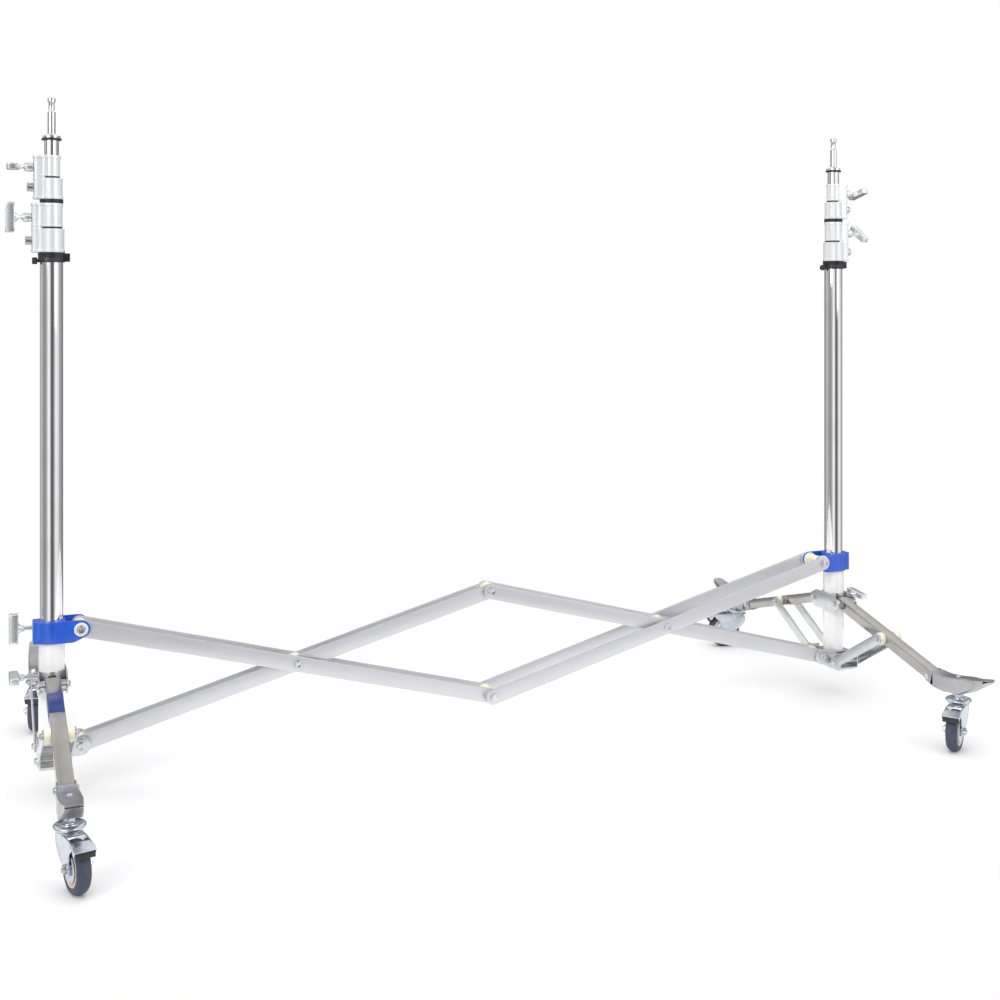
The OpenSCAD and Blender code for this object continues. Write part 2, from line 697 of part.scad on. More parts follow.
// Strut: two flat bars from the foot bracket up to the leg, with the foot bolt
module strut(side, end) {
  color([0.74, 0.75, 0.76]) at_unit(side) at_leg(end) translate([0, strut_foot_y, strut_foot_z]) {
    for (x = [-strut_in - strut_t, strut_in]) translate([x, 0, 0])
      rotate([strut_rise, 0, 0]) rotate([90, 0, 90]) linear_extrude(strut_t) difference() {
        bar_outline(strut_len, strut_w);
        circle(r = leg_bolt_r + seat);
        translate([strut_len, 0]) circle(r = leg_bolt_r + open_fit);
      }
    leg_bolt(strut_in + strut_t);
  }
}

// Castor frame: z on the swivel axis, +x along the trail
module at_castor(side, end) {
  turn = castor_turn[2 * unit(side) + (end > 0 ? 1 : 0)];
  translate([side * stand_spacing / 2, end * swivel_y, 0]) rotate([0, 0, turn]) children();
}

// Castor fork: crown, ball race and two side plates with the axle bolt
module fork(side, end) {
  t = castor_trail;
  color([0.75, 0.77, 0.79]) at_castor(side, end) {
    difference() {
      union() {
        translate([0, 0, race_z - cut]) cylinder(h = race_top - race_z + cut, r = swivel_r - 5);
        translate([0, 0, crown_z]) intersection() {
          cylinder(h = race_z - crown_z, r = swivel_r - 1);
          translate([-swivel_plate_d, -fork_out, 0]) cube([2 * swivel_plate_d, 2 * fork_out, 10]);
        }
        for (y = [-fork_out, fork_in]) translate([0, y + fork_t, 0])
          rotate([90, 0, 0]) linear_extrude(fork_t) {
            polygon([[-20, race_z], [-24, crown_z - 8], [-22, crown_z - 18], [t - 13, axle_z - 2],
              [t + 13, axle_z + 2], [t + 9, axle_z + 20], [t + 14, axle_z + 31], [t + 24, axle_z + 37],
              [t + 29, pedal_z - 1], [t + 27, pedal_z + 4], [t + 8, race_z], [20, race_z]]);
            translate([t, axle_z]) circle(r = 13);
          }
      }
      translate([0, 0, crown_z - cut]) cylinder(h = 20, r = kingpin_r + fit);
      translate([t, 0, axle_z]) y_rod(-30, 30, axle_d / 2 + seat);
      translate([pedal_x, 0, pedal_z]) y_rod(-30, 30, pedal_pin_r + fit);
    }
    translate([t, 0, axle_z]) y_bolt(fork_out, axle_d / 2, 7.5, 5);
  }
}

// Wheel: grey tyre on a core with a cover on each side
module wheel(side, end) {
  r = wheel_d / 2;
  h = wheel_w / 2;
  core_r = r * 0.73;
  at_castor(side, end) translate([castor_trail, 0, axle_z]) rotate([90, 0, 0]) {
    color([0.3, 0.33, 0.41]) rotate_extrude() polygon([
      [core_r + seat, -h + 1], [r - 7, -h + 0.4], [r - 3, -h + 2.5], [r - 0.6, -h + 7], [r, 0],
      [r - 0.6, h - 7], [r - 3, h - 2.5], [r - 7, h - 0.4], [core_r + seat, h - 1]]);
    color([0.85, 0.75, 0.68]) rotate_extrude() polygon([
      [axle_d / 2 + fit, -h + 1], [core_r, -h + 1], [core_r, h - 1], [axle_d / 2 + fit, h - 1]]);
    color([0.75, 0.77, 0.79]) for (i = [-1, 1]) mirror([0, 0, i > 0 ? 0 : 1])
      translate([0, 0, h - 1 + seat]) rotate_extrude() polygon([
        [axle_d / 2 + fit, 0], [core_r - 8, 0], [core_r - 12, 1.6], [12, 1.6], [11, 3.1],
        [axle_d / 2 + fit, 3.1]]);
  }
}

// Brake pedal: a pressed plate with a black pad under its end, on a pin across the fork
module pedal(side, end) {
  in = fork_in - gap;
  color([0.72, 0.74, 0.76]) at_castor(side, end) translate([pedal_x, 0, pedal_z]) {
    y_rod(-fork_out - 1, fork_out + 1, pedal_pin_r);
    translate([0, in, 0]) rotate([90, 0, 0]) linear_extrude(2 * in) polygon([
      [-5, -0.5], [0, -3.4], [8, -4], [10, -3], [10, 2], [0, 4.5], [-5, 4]]);
    translate([0, in + 4, 0]) rotate([90, 0, 0]) linear_extrude(2 * in + 8) polygon([
      [8, -0.6], [23, -5], [24, -3], [9, 2.6]]);
  }
  color([0.08, 0.08, 0.09]) at_castor(side, end) translate([pedal_x, in + 2, pedal_z])
    rotate([90, 0, 0]) linear_extrude(2 * in + 4) polygon([
      [10.5, -6], [12, -10.5], [15, -13], [19.5, -17.3], [24.2, -16.2], [22.8, -4.94 - seat],
      [10.5, -1.33 - seat]]);
}

// A pair of scissor bars with holes at both ends and in the middle, from the pivot outwards
module bar_pair(y, open_end, angle) {
  for (i = [-y - bar_t, y]) translate([0, i, 0]) rotate([0, -angle, 0]) translate([0, bar_t, 0])
    rotate([90, 0, 0]) linear_extrude(bar_t) difference() {
      bar_outline(bar_len, bar_w);
      for (x = [0, bar_len / 2, bar_len]) translate([x, 0])
        circle(r = pivot_r + (x == bar_len ? open_end : fit));
    }
}

// Round nylon piece around a scissor bolt, mirrored to both sides
module bar_spacers(y0, y1, r) for (i = [0, 1]) mirror([0, i, 0]) difference() {
  y_rod(y0, y1, r);
  y_rod(y0 - 1, y1 + 1, pivot_r + fit);
}

// Nylon tube between the two bars of a pair
module bar_tube(y, r) difference() {
  y_rod(-y + seat, y - seat, r);
  y_rod(-y - 1, y + 1, pivot_r + fit);
}

// Inner pair on the left, rising from the foot bracket to the upper centre pivot
module left_rising_bars() {
  color([0.8, 0.8, 0.82]) {
    translate([-half_span, 0, low_z]) {
      bar_pair(inner_y, fit, bar_angle);
      bar_tube(inner_y, tube_r);
      bar_spacers(inner_y + bar_t + seat, ear_y - gap, 11);
      y_bolt(ear_y + ear_t + gap, pivot_r, scissor_head_r, scissor_head_h);
    }
    translate([-mid_x, 0, mid_z_bars]) bar_tube(inner_y, tube_r);
    translate([0, 0, high_z]) bar_tube(inner_y, tube_r);
  }
}

// Middle pair on the left, falling from the blue bracket to the lower centre pivot
module left_falling_bars() {
  color([0.8, 0.8, 0.82]) {
    translate([-half_span, 0, high_z]) {
      bar_pair(middle_y, open_fit, -bar_angle);
      bar_tube(middle_y, tube_r);
      bar_spacers(ear_y + ear_t + gap, washer_y, 14);
      y_bolt(washer_y, pivot_r, scissor_head_r, scissor_head_h);
    }
    translate([-mid_x, 0, mid_z_bars]) {
      bar_spacers(inner_y + bar_t + gap, middle_y - seat, 12);
      y_bolt(middle_y + bar_t, pivot_r, scissor_head_r, scissor_head_h);
    }
    translate([0, 0, low_z]) difference() {
      bar_tube(middle_y, tube_r);
      y_rod(-middle_y - 1, middle_y + 1, pivot_r + open_fit);
    }
  }
}

// Middle pair on the right, falling from the upper centre pivot to the foot bracket
module right_falling_bars() {
  color([0.8, 0.8, 0.82]) {
    translate([half_span, 0, low_z]) {
      mirror([1, 0, 0]) bar_pair(middle_y, fit, bar_angle);
      bar_tube(middle_y, tube_r);
      y_bolt(ear_y + ear_t + gap, pivot_r, scissor_head_r, scissor_head_h);
    }
    translate([mid_x, 0, mid_z_bars]) bar_tube(middle_y, tube_r);
    translate([0, 0, high_z]) {
      bar_spacers(inner_y + bar_t + gap, middle_y - seat, 12);
      y_bolt(middle_y + bar_t, pivot_r, scissor_head_r, scissor_head_h);
    }
  }
}

// Outer pair on the right, rising from the lower centre pivot to the blue bracket
module right_rising_bars() {
  color([0.8, 0.8, 0.82]) {
    translate([half_span, 0, high_z]) {
      mirror([1, 0, 0]) bar_pair(outer_y, fit, -bar_angle);
      bar_spacers(ear_y + ear_t + gap, outer_y - seat, bar_w / 2 + 2);
      bar_tube(ear_y - gap, tube_r);
      y_bolt(outer_y + bar_t, pivot_r, scissor_head_r, scissor_head_h);
    }
    for (p = [[mid_x, mid_z_bars], [0, low_z]]) translate([p[0], 0, p[1]]) {
      bar_spacers(middle_y + bar_t + gap, outer_y - seat, 12);
      y_bolt(outer_y + bar_t, pivot_r, scissor_head_r, scissor_head_h);
    }
  }
}

base_tube(LEFT);  // left_base_tube
column(LEFT);  // left_column
lower_collar(LEFT);  // left_lower_collar
rings(LEFT);  // left_rings
foot_bracket(LEFT);  // left_foot_bracket
middle_riser(LEFT);  // left_middle_riser
upper_collar(LEFT);  // left_upper_collar
top_riser(LEFT);  // left_top_riser
stud(LEFT);  // left_stud
top_stop(LEFT);  // left_top_stop
upper_handle(LEFT);  // left_upper_handle
lower_handle(LEFT);  // left_lower_handle
bracket_handle(LEFT);  // left_bracket_handle
leg_handle(LEFT);  // left_leg_handle
leg_collar(LEFT);  // left_leg_collar
bracket(LEFT);  // left_bracket
leg(LEFT, FRONT);  // left_front_leg
leg(LEFT, BACK);  // left_back_leg
toe(LEFT, FRONT);  // left_front_toe
toe(LEFT, BACK);  // left_back_toe
strut(LEFT, FRONT);  // left_front_strut
strut(LEFT, BACK);  // left_back_strut
fork(LEFT, FRONT);  // left_front_fork
fork(LEFT, BACK);  // left_back_fork
wheel(LEFT, FRONT);  // left_front_wheel
wheel(LEFT, BACK);  // left_back_wheel
pedal(LEFT, FRONT);  // left_front_pedal
pedal(LEFT, BACK);  // left_back_pedal
base_tube(RIGHT);  // right_base_tube
column(RIGHT);  // right_column
lower_collar(RIGHT);  // right_lower_collar
rings(RIGHT);  // right_rings
foot_bracket(RIGHT);  // right_foot_bracket
middle_riser(RIGHT);  // right_middle_riser
upper_collar(RIGHT);  // right_upper_collar
top_riser(RIGHT);  // right_top_riser
stud(RIGHT);  // right_stud
top_stop(RIGHT);  // right_top_stop
upper_handle(RIGHT);  // right_upper_handle
lower_handle(RIGHT);  // right_lower_handle
leg_handle(RIGHT);  // right_leg_handle
leg_collar(RIGHT);  // right_leg_collar
bracket(RIGHT);  // right_bracket
leg(RIGHT, FRONT);  // right_front_leg
leg(RIGHT, BACK);  // right_back_leg
toe(RIGHT, FRONT);  // right_front_toe
toe(RIGHT, BACK);  // right_back_toe
strut(RIGHT, FRONT);  // right_front_strut
strut(RIGHT, BACK);  // right_back_strut
fork(RIGHT, FRONT);  // right_front_fork
fork(RIGHT, BACK);  // right_back_fork
wheel(RIGHT, FRONT);  // right_front_wheel
wheel(RIGHT, BACK);  // right_back_wheel
pedal(RIGHT, FRONT);  // right_front_pedal
pedal(RIGHT, BACK);  // right_back_pedal
left_rising_bars();
left_falling_bars();
right_rising_bars();
right_falling_bars();
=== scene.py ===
import math

import bpy
import numpy as np
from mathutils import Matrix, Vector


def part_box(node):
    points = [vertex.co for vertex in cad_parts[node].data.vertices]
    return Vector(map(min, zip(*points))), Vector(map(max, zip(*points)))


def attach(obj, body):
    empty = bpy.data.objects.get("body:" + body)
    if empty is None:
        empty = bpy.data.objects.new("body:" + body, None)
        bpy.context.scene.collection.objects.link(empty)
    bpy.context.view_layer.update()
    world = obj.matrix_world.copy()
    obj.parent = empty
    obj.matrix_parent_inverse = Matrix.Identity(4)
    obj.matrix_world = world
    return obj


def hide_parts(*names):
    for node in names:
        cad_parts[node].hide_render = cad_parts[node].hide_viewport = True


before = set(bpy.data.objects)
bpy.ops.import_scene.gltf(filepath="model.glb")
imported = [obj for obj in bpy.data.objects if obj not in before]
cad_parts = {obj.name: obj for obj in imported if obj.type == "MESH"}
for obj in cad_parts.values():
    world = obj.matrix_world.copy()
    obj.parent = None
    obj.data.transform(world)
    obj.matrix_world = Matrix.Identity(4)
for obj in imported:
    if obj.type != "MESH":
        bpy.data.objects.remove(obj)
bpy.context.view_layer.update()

# White base tubes
# Each column stands in a short drawn steel tube, 51 mm across, enamelled in gloss white.
# Its rims are turned round, and its foot is welded into the bracket that holds the legs.

MM = 0.001
SPAN = 1908.0
SIDES = {"left": -1, "right": 1}


class Term:
    """A node's output in a Python sum or product: each operator adds its own Math node."""

    def __init__(self, finish, socket):
        self.finish, self.socket = finish, socket

    def math(self, operation, *terms):
        """A Math node of that operation on the terms."""
        return self.finish.node("Math", {"operation": operation}, dict(enumerate(terms)))

    def __add__(self, other):
        return self.math("ADD", self, other)

    def __mul__(self, other):
        return self.math("MULTIPLY", self, other)

    __radd__, __rmul__ = __add__, __mul__

    def step(self, low, high):
        """0 below low and 1 above high, in a straight line between them."""
        return self.finish.node("MapRange", {}, {"Value": self, 1: low, 2: high})

    def paint(self, dark, light):
        """The colour dark where the term is 0, light where it is 1."""
        return self.finish.node(
            "Mix", {"data_type": "RGBA"}, {0: self, 6: dark, 7: light}, out=2)


class Finish:
    """One material: its constants sit on the Principled shader, its nodes feed what varies."""

    def __init__(self, name, **constants):
        self.material = bpy.data.materials.new(name)
        self.material.use_nodes = True
        self.tree = self.material.node_tree
        self.shader = self.tree.nodes["Principled BSDF"]
        self.set(**constants)

    def feed(self, node, values):
        """Links a node's sockets to terms, and sets the others to values."""
        for key, value in values.items():
            socket = node.inputs[key]
            if isinstance(value, Term):
                self.tree.links.new(value.socket, socket)
            elif isinstance(value, tuple) and socket.type == "RGBA":
                socket.default_value = (*value, 1.0)
            else:
                socket.default_value = value

    def node(self, kind, settings, values, out=0):
        """A shader node of that kind: its settings first, then its sockets by name or number."""
        made = self.tree.nodes.new("ShaderNode" + kind)
        for key, value in settings.items():
            setattr(made, key, value)
        self.feed(made, values)
        return Term(self, made.outputs[out])

    def noise(self, scale, detail=2.0, stretch=(1, 1, 1), along="Object"):
        """Noise from 0 to 1 about 0.5, on the piece's place or on its UV map, stretched."""
        where = self.node("TexCoord", {}, {}, out=along)
        where = self.node("Mapping", {}, {"Vector": where, "Scale": stretch})
        return self.node("TexNoise", {}, {"Vector": where, "Scale": scale, "Detail": detail})

    def bump(self, height, distance, strength):
        """Tilts the surface's normal by the slope of a height."""
        height = self.node(
            "Bump", {}, {"Height": height, "Distance": distance, "Strength": strength})
        self.feed(self.shader, {"Normal": height})

    def set(self, **values):
        """Feeds the shader's own sockets, named with _ for a space."""
        self.feed(self.shader, {k.replace("_", " "): v for k, v in values.items()})


def rounded(corners, radius, steps=5, closed=True):
    """An outline whose corners are drawn round. Between the points A and B that lie at the
    radius from a corner C, it follows (1 - t)^2 A + 2 t (1 - t) C + t^2 B."""
    c = np.asarray(corners, float)
    back, on = np.roll(c, 1, 0) - c, np.roll(c, -1, 0) - c
    long_back, long_on = (np.linalg.norm(e, axis=1, keepdims=True) for e in (back, on))
    r = np.minimum(np.reshape(radius, (-1, 1)), 0.48 * np.minimum(long_back, long_on))
    a, b = c + back / long_back * r, c + on / long_on * r
    t = np.linspace(0, 1, steps)[None, :, None]
    curve = (1 - t) ** 2 * a[:, None] + 2 * t * (1 - t) * c[:, None] + t**2 * b[:, None]
    if closed:
        return curve.reshape(-1, 2)
    return np.concatenate([c[:1], curve[1:-1].reshape(-1, 2), c[-1:]])


def skin(rings, wrap=False, uv=None):
    """Surface over m rings of n points, an m x n x 3 array in mm: point (i, j) makes a face
    with (i, j + 1), (i + 1, j + 1) and (i + 1, j). Every ring closes on itself. The last ring
    joins the first, or else a flat face closes each end. UV is the distance along and around.
    The sign of the enclosed volume turns the faces outwards."""
    m, n = rings.shape[:2]
    i, j = np.arange(m if wrap else m - 1)[:, None], np.arange(n)[None, :]
    corners = [(i, j), (i, j + 1), (i + 1, j + 1), (i + 1, j)]
    quads = np.stack([(a % m) * n + b % n + 0 * (i + j) for a, b in corners], -1).reshape(-1, 4)
    if uv is None:
        loop = np.concatenate([rings, rings[:1]], 0)
        along = np.r_[0, np.cumsum(np.linalg.norm(np.diff(loop, axis=0), axis=2).mean(1))]
        turn = np.concatenate([rings, rings[:, :1]], 1)
        around = np.r_[0, np.cumsum(np.linalg.norm(np.diff(turn, axis=1), axis=2).max(0))]
        maps = np.stack([np.stack([along[a] + 0 * j, around[b] + 0 * i], -1)
                         for a, b in corners], 2)
        ends = [np.stack([np.full(n, along[k]), around[:n]], -1) for k in (0, m - 1)]
    else:
        maps = uv.reshape(-1, 2)[quads]
        ends = [uv[0], uv[-1]]
    points = rings.reshape(-1, 3)
    centre = points.mean(0)
    p = points[quads] - centre
    volume = (np.einsum("ij,ij->i", p[:, 0], np.cross(p[:, 1], p[:, 2]))
              + np.einsum("ij,ij->i", p[:, 0], np.cross(p[:, 2], p[:, 3]))).sum()
    faces, maps = quads.tolist(), list(maps.reshape(-1, 4, 2))
    if not wrap:
        for k, end, order in ((0, ends[0], -1), (m - 1, ends[1], 1)):
            q = rings[k] - centre
            middle = q.mean(0)
            volume += order * (np.cross(q, np.roll(q, -1, 0)) @ middle).sum()
            faces.append((k * n + np.arange(n))[::order].tolist())
            maps.append(end[::order])
    if volume < 0:
        faces, maps = [f[::-1] for f in faces], [u[::-1] for u in maps]
    return points, faces, np.concatenate(maps) * MM


def angles(steps):
    """Even angles round a circle, from 0 on."""
    return np.linspace(0, 2 * math.pi, steps, endpoint=False)


def about(radius, h, t, at=(0, 0, 0), axis=2):
    """Rings about an axis through a point: radius cos t and radius sin t across the axis, and
    the height h along it."""
    rings = np.stack([radius * np.cos(t), radius * np.sin(t), h + 0 * radius + 0 * t], -1)
    return np.roll(rings, axis + 1, axis=-1) + np.asarray(at, float)


def turned(profile, at=(0, 0, 0), axis=2, steps=64, wrap=False):
    """Profile of radius r and height h, turned about an axis through a point."""
    r, h = np.asarray(profile, float).T[:, :, None]
    return about(r, h, angles(steps), at, axis), wrap


def tube(low, high, outer, inner, edge=0.8, **place):
    """Turned ring of rectangular section with rounded edges."""
    section = rounded([(inner, low), (outer, low), (outer, high), (inner, high)], edge)
    return turned(section, wrap=True, **place)


def stand(points, side, end=1):
    """From a unit's own frame, with x inboard and y outwards along a leg, to the row frame."""
    x, y, z = np.moveaxis(np.asarray(points, float), -1, 0)
    return np.stack([side * (SPAN / 2 - x), end * y, z], -1)


def piece(name, body, finish, shapes, replaces=(), side=None, end=1, sharp=38):
    """One object from closed skins: each shape is (rings, wrap) or (rings, wrap, UV)."""
    points, faces, maps, count = [], [], [], 0
    for shape in shapes:
        rings, *rest = shape
        rings = rings if side is None else stand(rings, side, end)
        p, f, uv = skin(rings, *rest)
        points.append(p)
        faces += [[v + count for v in face] for face in f]
        maps.append(uv)
        count += len(p)
    mesh = bpy.data.meshes.new(name)
    mesh.from_pydata(np.concatenate(points) * MM, [], faces)
    mesh.uv_layers.new(name="UVMap").data.foreach_set("uv", np.concatenate(maps).ravel())
    mesh.shade_smooth()
    mesh.set_sharp_from_angle(angle=math.radians(sharp))
    mesh.materials.append(finish.material)
    made = bpy.data.objects.new(name, mesh)
    bpy.context.scene.collection.objects.link(made)
    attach(made, body)
    if replaces:
        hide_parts(*replaces)


def span(node):
    """Lowest and highest corner of a CAD node, in mm."""
    return [np.array(corner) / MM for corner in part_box(node)]


enamel = Finish("white_enamel", IOR=1.5, Coat_Weight=0.6, Coat_Roughness=0.08)
cloud = enamel.noise(9, 3)
rub = enamel.noise(1, 3, stretch=(260, 260, 3)).step(0.56, 0.72)
enamel.set(Base_Color=(cloud * 0.3 + rub * 0.3).paint((0.98, 0.97, 0.97), (0.9, 0.895, 0.895)),
           Roughness=cloud * 0.16 + 0.12)
enamel.bump(enamel.noise(420, 1), 0.0002, 0.25)

for name, side in SIDES.items():
    low, high = span(name + "_base_tube")
    piece(name + "_white_tube", name + "_unit", enamel,
          [tube(low[2], high[2], 25.4, 22.6, 1.3)], [name + "_base_tube"], side)

# Columns and risers
# Three chromed steel tubes slide in one another on each side: 45, 38 and 28.6 mm. Only the
# outer one and a finger of the inner one show; each riser ends in a turned nylon bush.

# Body, outer and inner radius, and the radius of the bush.
TUBES = {"column": ("unit", 22.5, 20.5, 0), "middle_riser": ("middle_riser", 19, 17, 20.45),
         "top_riser": ("top_riser", 14.3, 12.5, 16.95)}

chrome = Finish("polished_chrome", Metallic=1.0)
lines = chrome.noise(1, 2, stretch=(500, 500, 6))
smudge = chrome.noise(14, 3).step(0.42, 0.75)
chrome.set(Base_Color=smudge.paint((0.86, 0.86, 0.87), (0.78, 0.775, 0.77)),
           Roughness=lines * 0.06 + smudge * 0.05 + 0.03)
chrome.bump(lines, 0.00002, 0.12)

nylon = Finish("cream_nylon", IOR=1.53, Subsurface_Weight=0.25, Subsurface_Scale=0.004)
grain = nylon.noise(60, 3)
nylon.set(Base_Color=grain.step(0.3, 0.7).paint((0.84, 0.78, 0.6), (0.9, 0.86, 0.7)),
          Roughness=grain * 0.25 + 0.33)
nylon.bump(nylon.noise(900, 2), 0.0001, 0.3)

white_nylon = Finish("white_nylon", IOR=1.53, Subsurface_Weight=0.2, Subsurface_Scale=0.003)
grain = white_nylon.noise(60, 3)
white_nylon.set(Base_Color=grain.step(0.3, 0.7).paint((0.93, 0.93, 0.92), (0.84, 0.84, 0.82)),
                Roughness=grain * 0.2 + 0.35)

for name, side in SIDES.items():
    for tube_name, (body, outer, inner, bush) in TUBES.items():
        node = f"{name}_{tube_name}"
        low, high = span(node)
        piece(node + "_tube", f"{name}_{body}", chrome,
              [tube(low[2], high[2], outer, inner, 0.6, steps=96)], [node], side)
        if bush:
            piece(node + "_bush", f"{name}_{body}", nylon,
                  [tube(low[2], low[2] + 40, bush, outer + 0.05, 1.0)], side=side)

# Collars
# Each collar is a zinc casting, machined and chromed. Its lower half sits on the outer tube;
# the narrower upper half, above a sawn slot, clamps the inner one by the T-handle's screw.

BOSS_HALF, RIM, RIM_OUT, COLLAR_WALL = 15.0, 6.0, 1.2, 2.4


def hexagon(t):
    """Distance from the middle to the side of a hexagon of inner radius 1, at each angle."""
    return 1 / np.cos((t + math.pi / 6) % (math.pi / 3) - math.pi / 6)


def head(r, high, at, axis, way, washer=1.2, steps=48):
    """Screw head: over a round washer face the radius is the smaller of the hexagon and a
    cone, which leaves the turned chamfer of a real head, and the top is slightly hollow."""
    t = angles(steps)
    h, cone = np.array([
        (0, 0.97), (washer * 0.5, 1), (washer, 0.97), (washer + 0.01, 9), (high - 1.5, 9),
        (high - 0.7, 0.9), (high - 0.2, 0.79), (high, 0.66), (high - 0.5, 0.42)]).T[:, :, None]
    radius = np.minimum(cone * r, np.where(h > washer, 0.84 * r * hexagon(t), r))
    return about(radius, way * h, t, at, axis), False


def collar(low, high, outer, inner, boss, end):
    """Casting whose outside is the radius R(t, z): the larger of the round body's radius at
    that height and the boss, a rounded block. The rims and the middle band stand out. In the
    slot, at angles under end, R drops to the inner tube. Last comes the stepped bore."""
    middle = (low + high) / 2
    r_low, r_high = outer + COLLAR_WALL, inner + COLLAR_WALL
    t = angles(180) - math.pi
    for edge in (-end, end):
        k = np.argmin(abs(t - edge))
        t[k - 1:k + 2] = edge - 0.012, edge, edge + 0.012
    rim = np.array([(0, -0.9), (0.35, -0.2), (0.9, 0.1), (RIM - 0.9, 0.1), (RIM - 0.4, -0.2),
                    (RIM - 0.1, -1.2)])
    band = np.array([(-RIM, -1.2), (0.6 - RIM, -0.6), (-2.4, -0.6), (-2, -1), (-1.96, -1.2)])
    lower = np.concatenate([rim + [low, 0], band + [middle, 0]])
    upper = lower[::-1] * [-1, 1] + [low + high, 0]
    z, out = np.concatenate([lower, upper]).T[:, :, None]
    body = np.repeat([r_low, r_high], len(lower))[:, None]
    slot = abs(z - middle) < 1.98
    out = out + RIM_OUT - 0.1
    across = np.minimum((BOSS_HALF + out) / abs(np.sin(t) + 1e-9), boss + out)
    block = np.where(np.cos(t) < 0, across, 0)
    block = sum(w * np.roll(block, i - 2, 1) for i, w in enumerate(np.array([1, 2, 3, 2, 1]) / 9))
    radius = np.maximum(body + out, block)
    radius = np.where(slot & (abs(t) < end), inner + 0.2, radius)
    bore = [(high, inner + 0.5), (high - 0.6, inner + 0.05), (middle - 3, inner + 0.05),
            (middle - 3.01, outer + 0.05), (low + 0.6, outer + 0.05), (low, outer + 0.5)]
    z = np.concatenate([z, np.array([b[:1] for b in bore])])
    radius = np.concatenate([radius, np.array([b[1:] for b in bore]) + 0 * radius[:6]])
    return about(radius, z, t), True


def clouded(name, noise, dark, light, rough, bump, span=(0.3, 0.75), **constants):
    """A finish whose colour and roughness follow one cloud of noise, over a fine bump."""
    finish = Finish(name, **constants)
    cloud = finish.noise(*noise).step(*span)
    finish.set(Base_Color=cloud.paint(dark, light), Roughness=cloud * rough[0] + rough[1])
    finish.bump(finish.noise(*bump[:2]), *bump[2:])
    return finish


cast = Finish("bright_casting", Metallic=0.25, Coat_Weight=0.3)
rings = cast.noise(1, 2, stretch=(9, 9, 900))
cloud = cast.noise(28, 3).step(0.35, 0.75)
cast.set(Base_Color=cloud.paint((0.97, 0.975, 0.985), (0.9, 0.905, 0.92)),
         Roughness=rings * 0.12 + cloud * 0.08 + 0.08)
cast.bump(rings, 0.00004, 0.2)

plated = clouded("plated_steel", (75, 3), (0.8, 0.8, 0.82), (0.52, 0.53, 0.56), (0.16, 0.16),
                 (600, 2, 0.00004, 0.25), Metallic=1.0)
# Satin black for the real mouldings; the same black also fills each collar's sawn slot as painted
# shade.
black = clouded("moulded_black_and_slot_shade", (45, 4), (0.018, 0.018, 0.021), (0.05, 0.05, 0.054),
                (0.2, 0.34), (1400, 2, 0.00012, 0.45), (0.45, 0.8), IOR=1.49)

BOLT_R, BOLT_H, BOSS_REACH = 9.0, 12.0, 14.0
SLOT_END = {"left": {"lower": 2.6, "upper": 2.4}, "right": {"lower": 1.75, "upper": 1.75}}
for name, side in SIDES.items():
    for level, outer, inner, share in (("lower", 22.5, 19, 0.24), ("upper", 19, 14.3, 0.27)):
        node = f"{name}_{level}_collar"
        low, high = span(node)
        boss = outer + COLLAR_WALL + BOSS_REACH
        body = name + ("_unit" if level == "lower" else "_middle_riser")
        casting = collar(low[2], high[2], outer, inner, boss, SLOT_END[name][level])
        piece(node + "_casting", body, cast, [casting], [node], side, sharp=30)
        middle = (low[2] + high[2]) / 2
        # The black ring inside the sawn slot is painted shade: a dark ring that stands for the
        # shadow in the slot's gap, not a real liner.
        piece(node + "_slot_shadow_ring", body, black,
              [tube(middle - 1.9, middle + 1.9, inner + COLLAR_WALL - 0.3, inner + 0.1, 0.2)],
              side=side)
        at = (-boss - 0.05, 0, low[2] + share * (high[2] - low[2]))
        nut = turned([(BOLT_R - 0.8, 0), (BOLT_R, 0.9), (BOLT_R, 4), (BOLT_R - 1, 4.8),
                      (BOLT_R - 1, 6.2), (BOLT_R, 7), (BOLT_R, BOLT_H - 2),
                      (BOLT_R - 1.6, BOLT_H - 0.3), (BOLT_R - 3, BOLT_H), (4.2, BOLT_H),
                      (4, BOLT_H - 0.5), (4, BOLT_H - 4)], axis=0)
        nut = (nut[0] * [-1, 1, 1] + at, False)
        piece(node + "_clamp_nut", body, plated, [nut], side=side)

# Black rings
# A moulded clamp ring with a thumb knob sits under each lower collar, a thin rubber bumper on
# top of it, and a stop disc under each stud. All are satin black, with a fine moulded grain.


def plate(outline, low, high, edge=0.6, axis=1, bends=4):
    """Flat plate of an outline (a, b), between two heights across it. Near each face the
    outline draws in by edge (1 - sin u) while the height grows by edge (1 - cos u)."""
    p = np.asarray(outline, float)
    on = np.roll(p, -1, 0) - p
    on /= np.linalg.norm(on, axis=1, keepdims=True) + 1e-12
    normal = np.stack([-on[:, 1], on[:, 0]], -1)
    normal = normal + np.roll(normal, 1, 0)
    normal /= np.linalg.norm(normal, axis=1, keepdims=True) + 1e-12
    q = np.roll(p, -1, 0)
    if (p[:, 0] * q[:, 1] - p[:, 1] * q[:, 0]).sum() < 0:
        normal = -normal
    u = np.linspace(0, math.pi / 2, bends)
    inwards, rise = edge * (1 - np.sin(u)), edge * (1 - np.cos(u))
    shift = np.r_[inwards, inwards[::-1]]
    level = np.r_[low + rise, (high - rise)[::-1]]
    flat = p[None] + normal[None] * shift[:, None, None]
    across = level[:, None] + 0 * flat[..., 0]
    order = {0: (across, flat[..., 0], flat[..., 1]), 1: (flat[..., 0], across, flat[..., 1]),
             2: (flat[..., 0], flat[..., 1], across)}[axis]
    uv = np.stack([flat[..., 0], flat[..., 1] + across], -1)
    return np.stack(order, -1), False, uv


def mirrored(half):
    """Half of a profile, up to height 0, and its mirror image."""
    return half + [(r, -h) for r, h in half[::-1] if h]


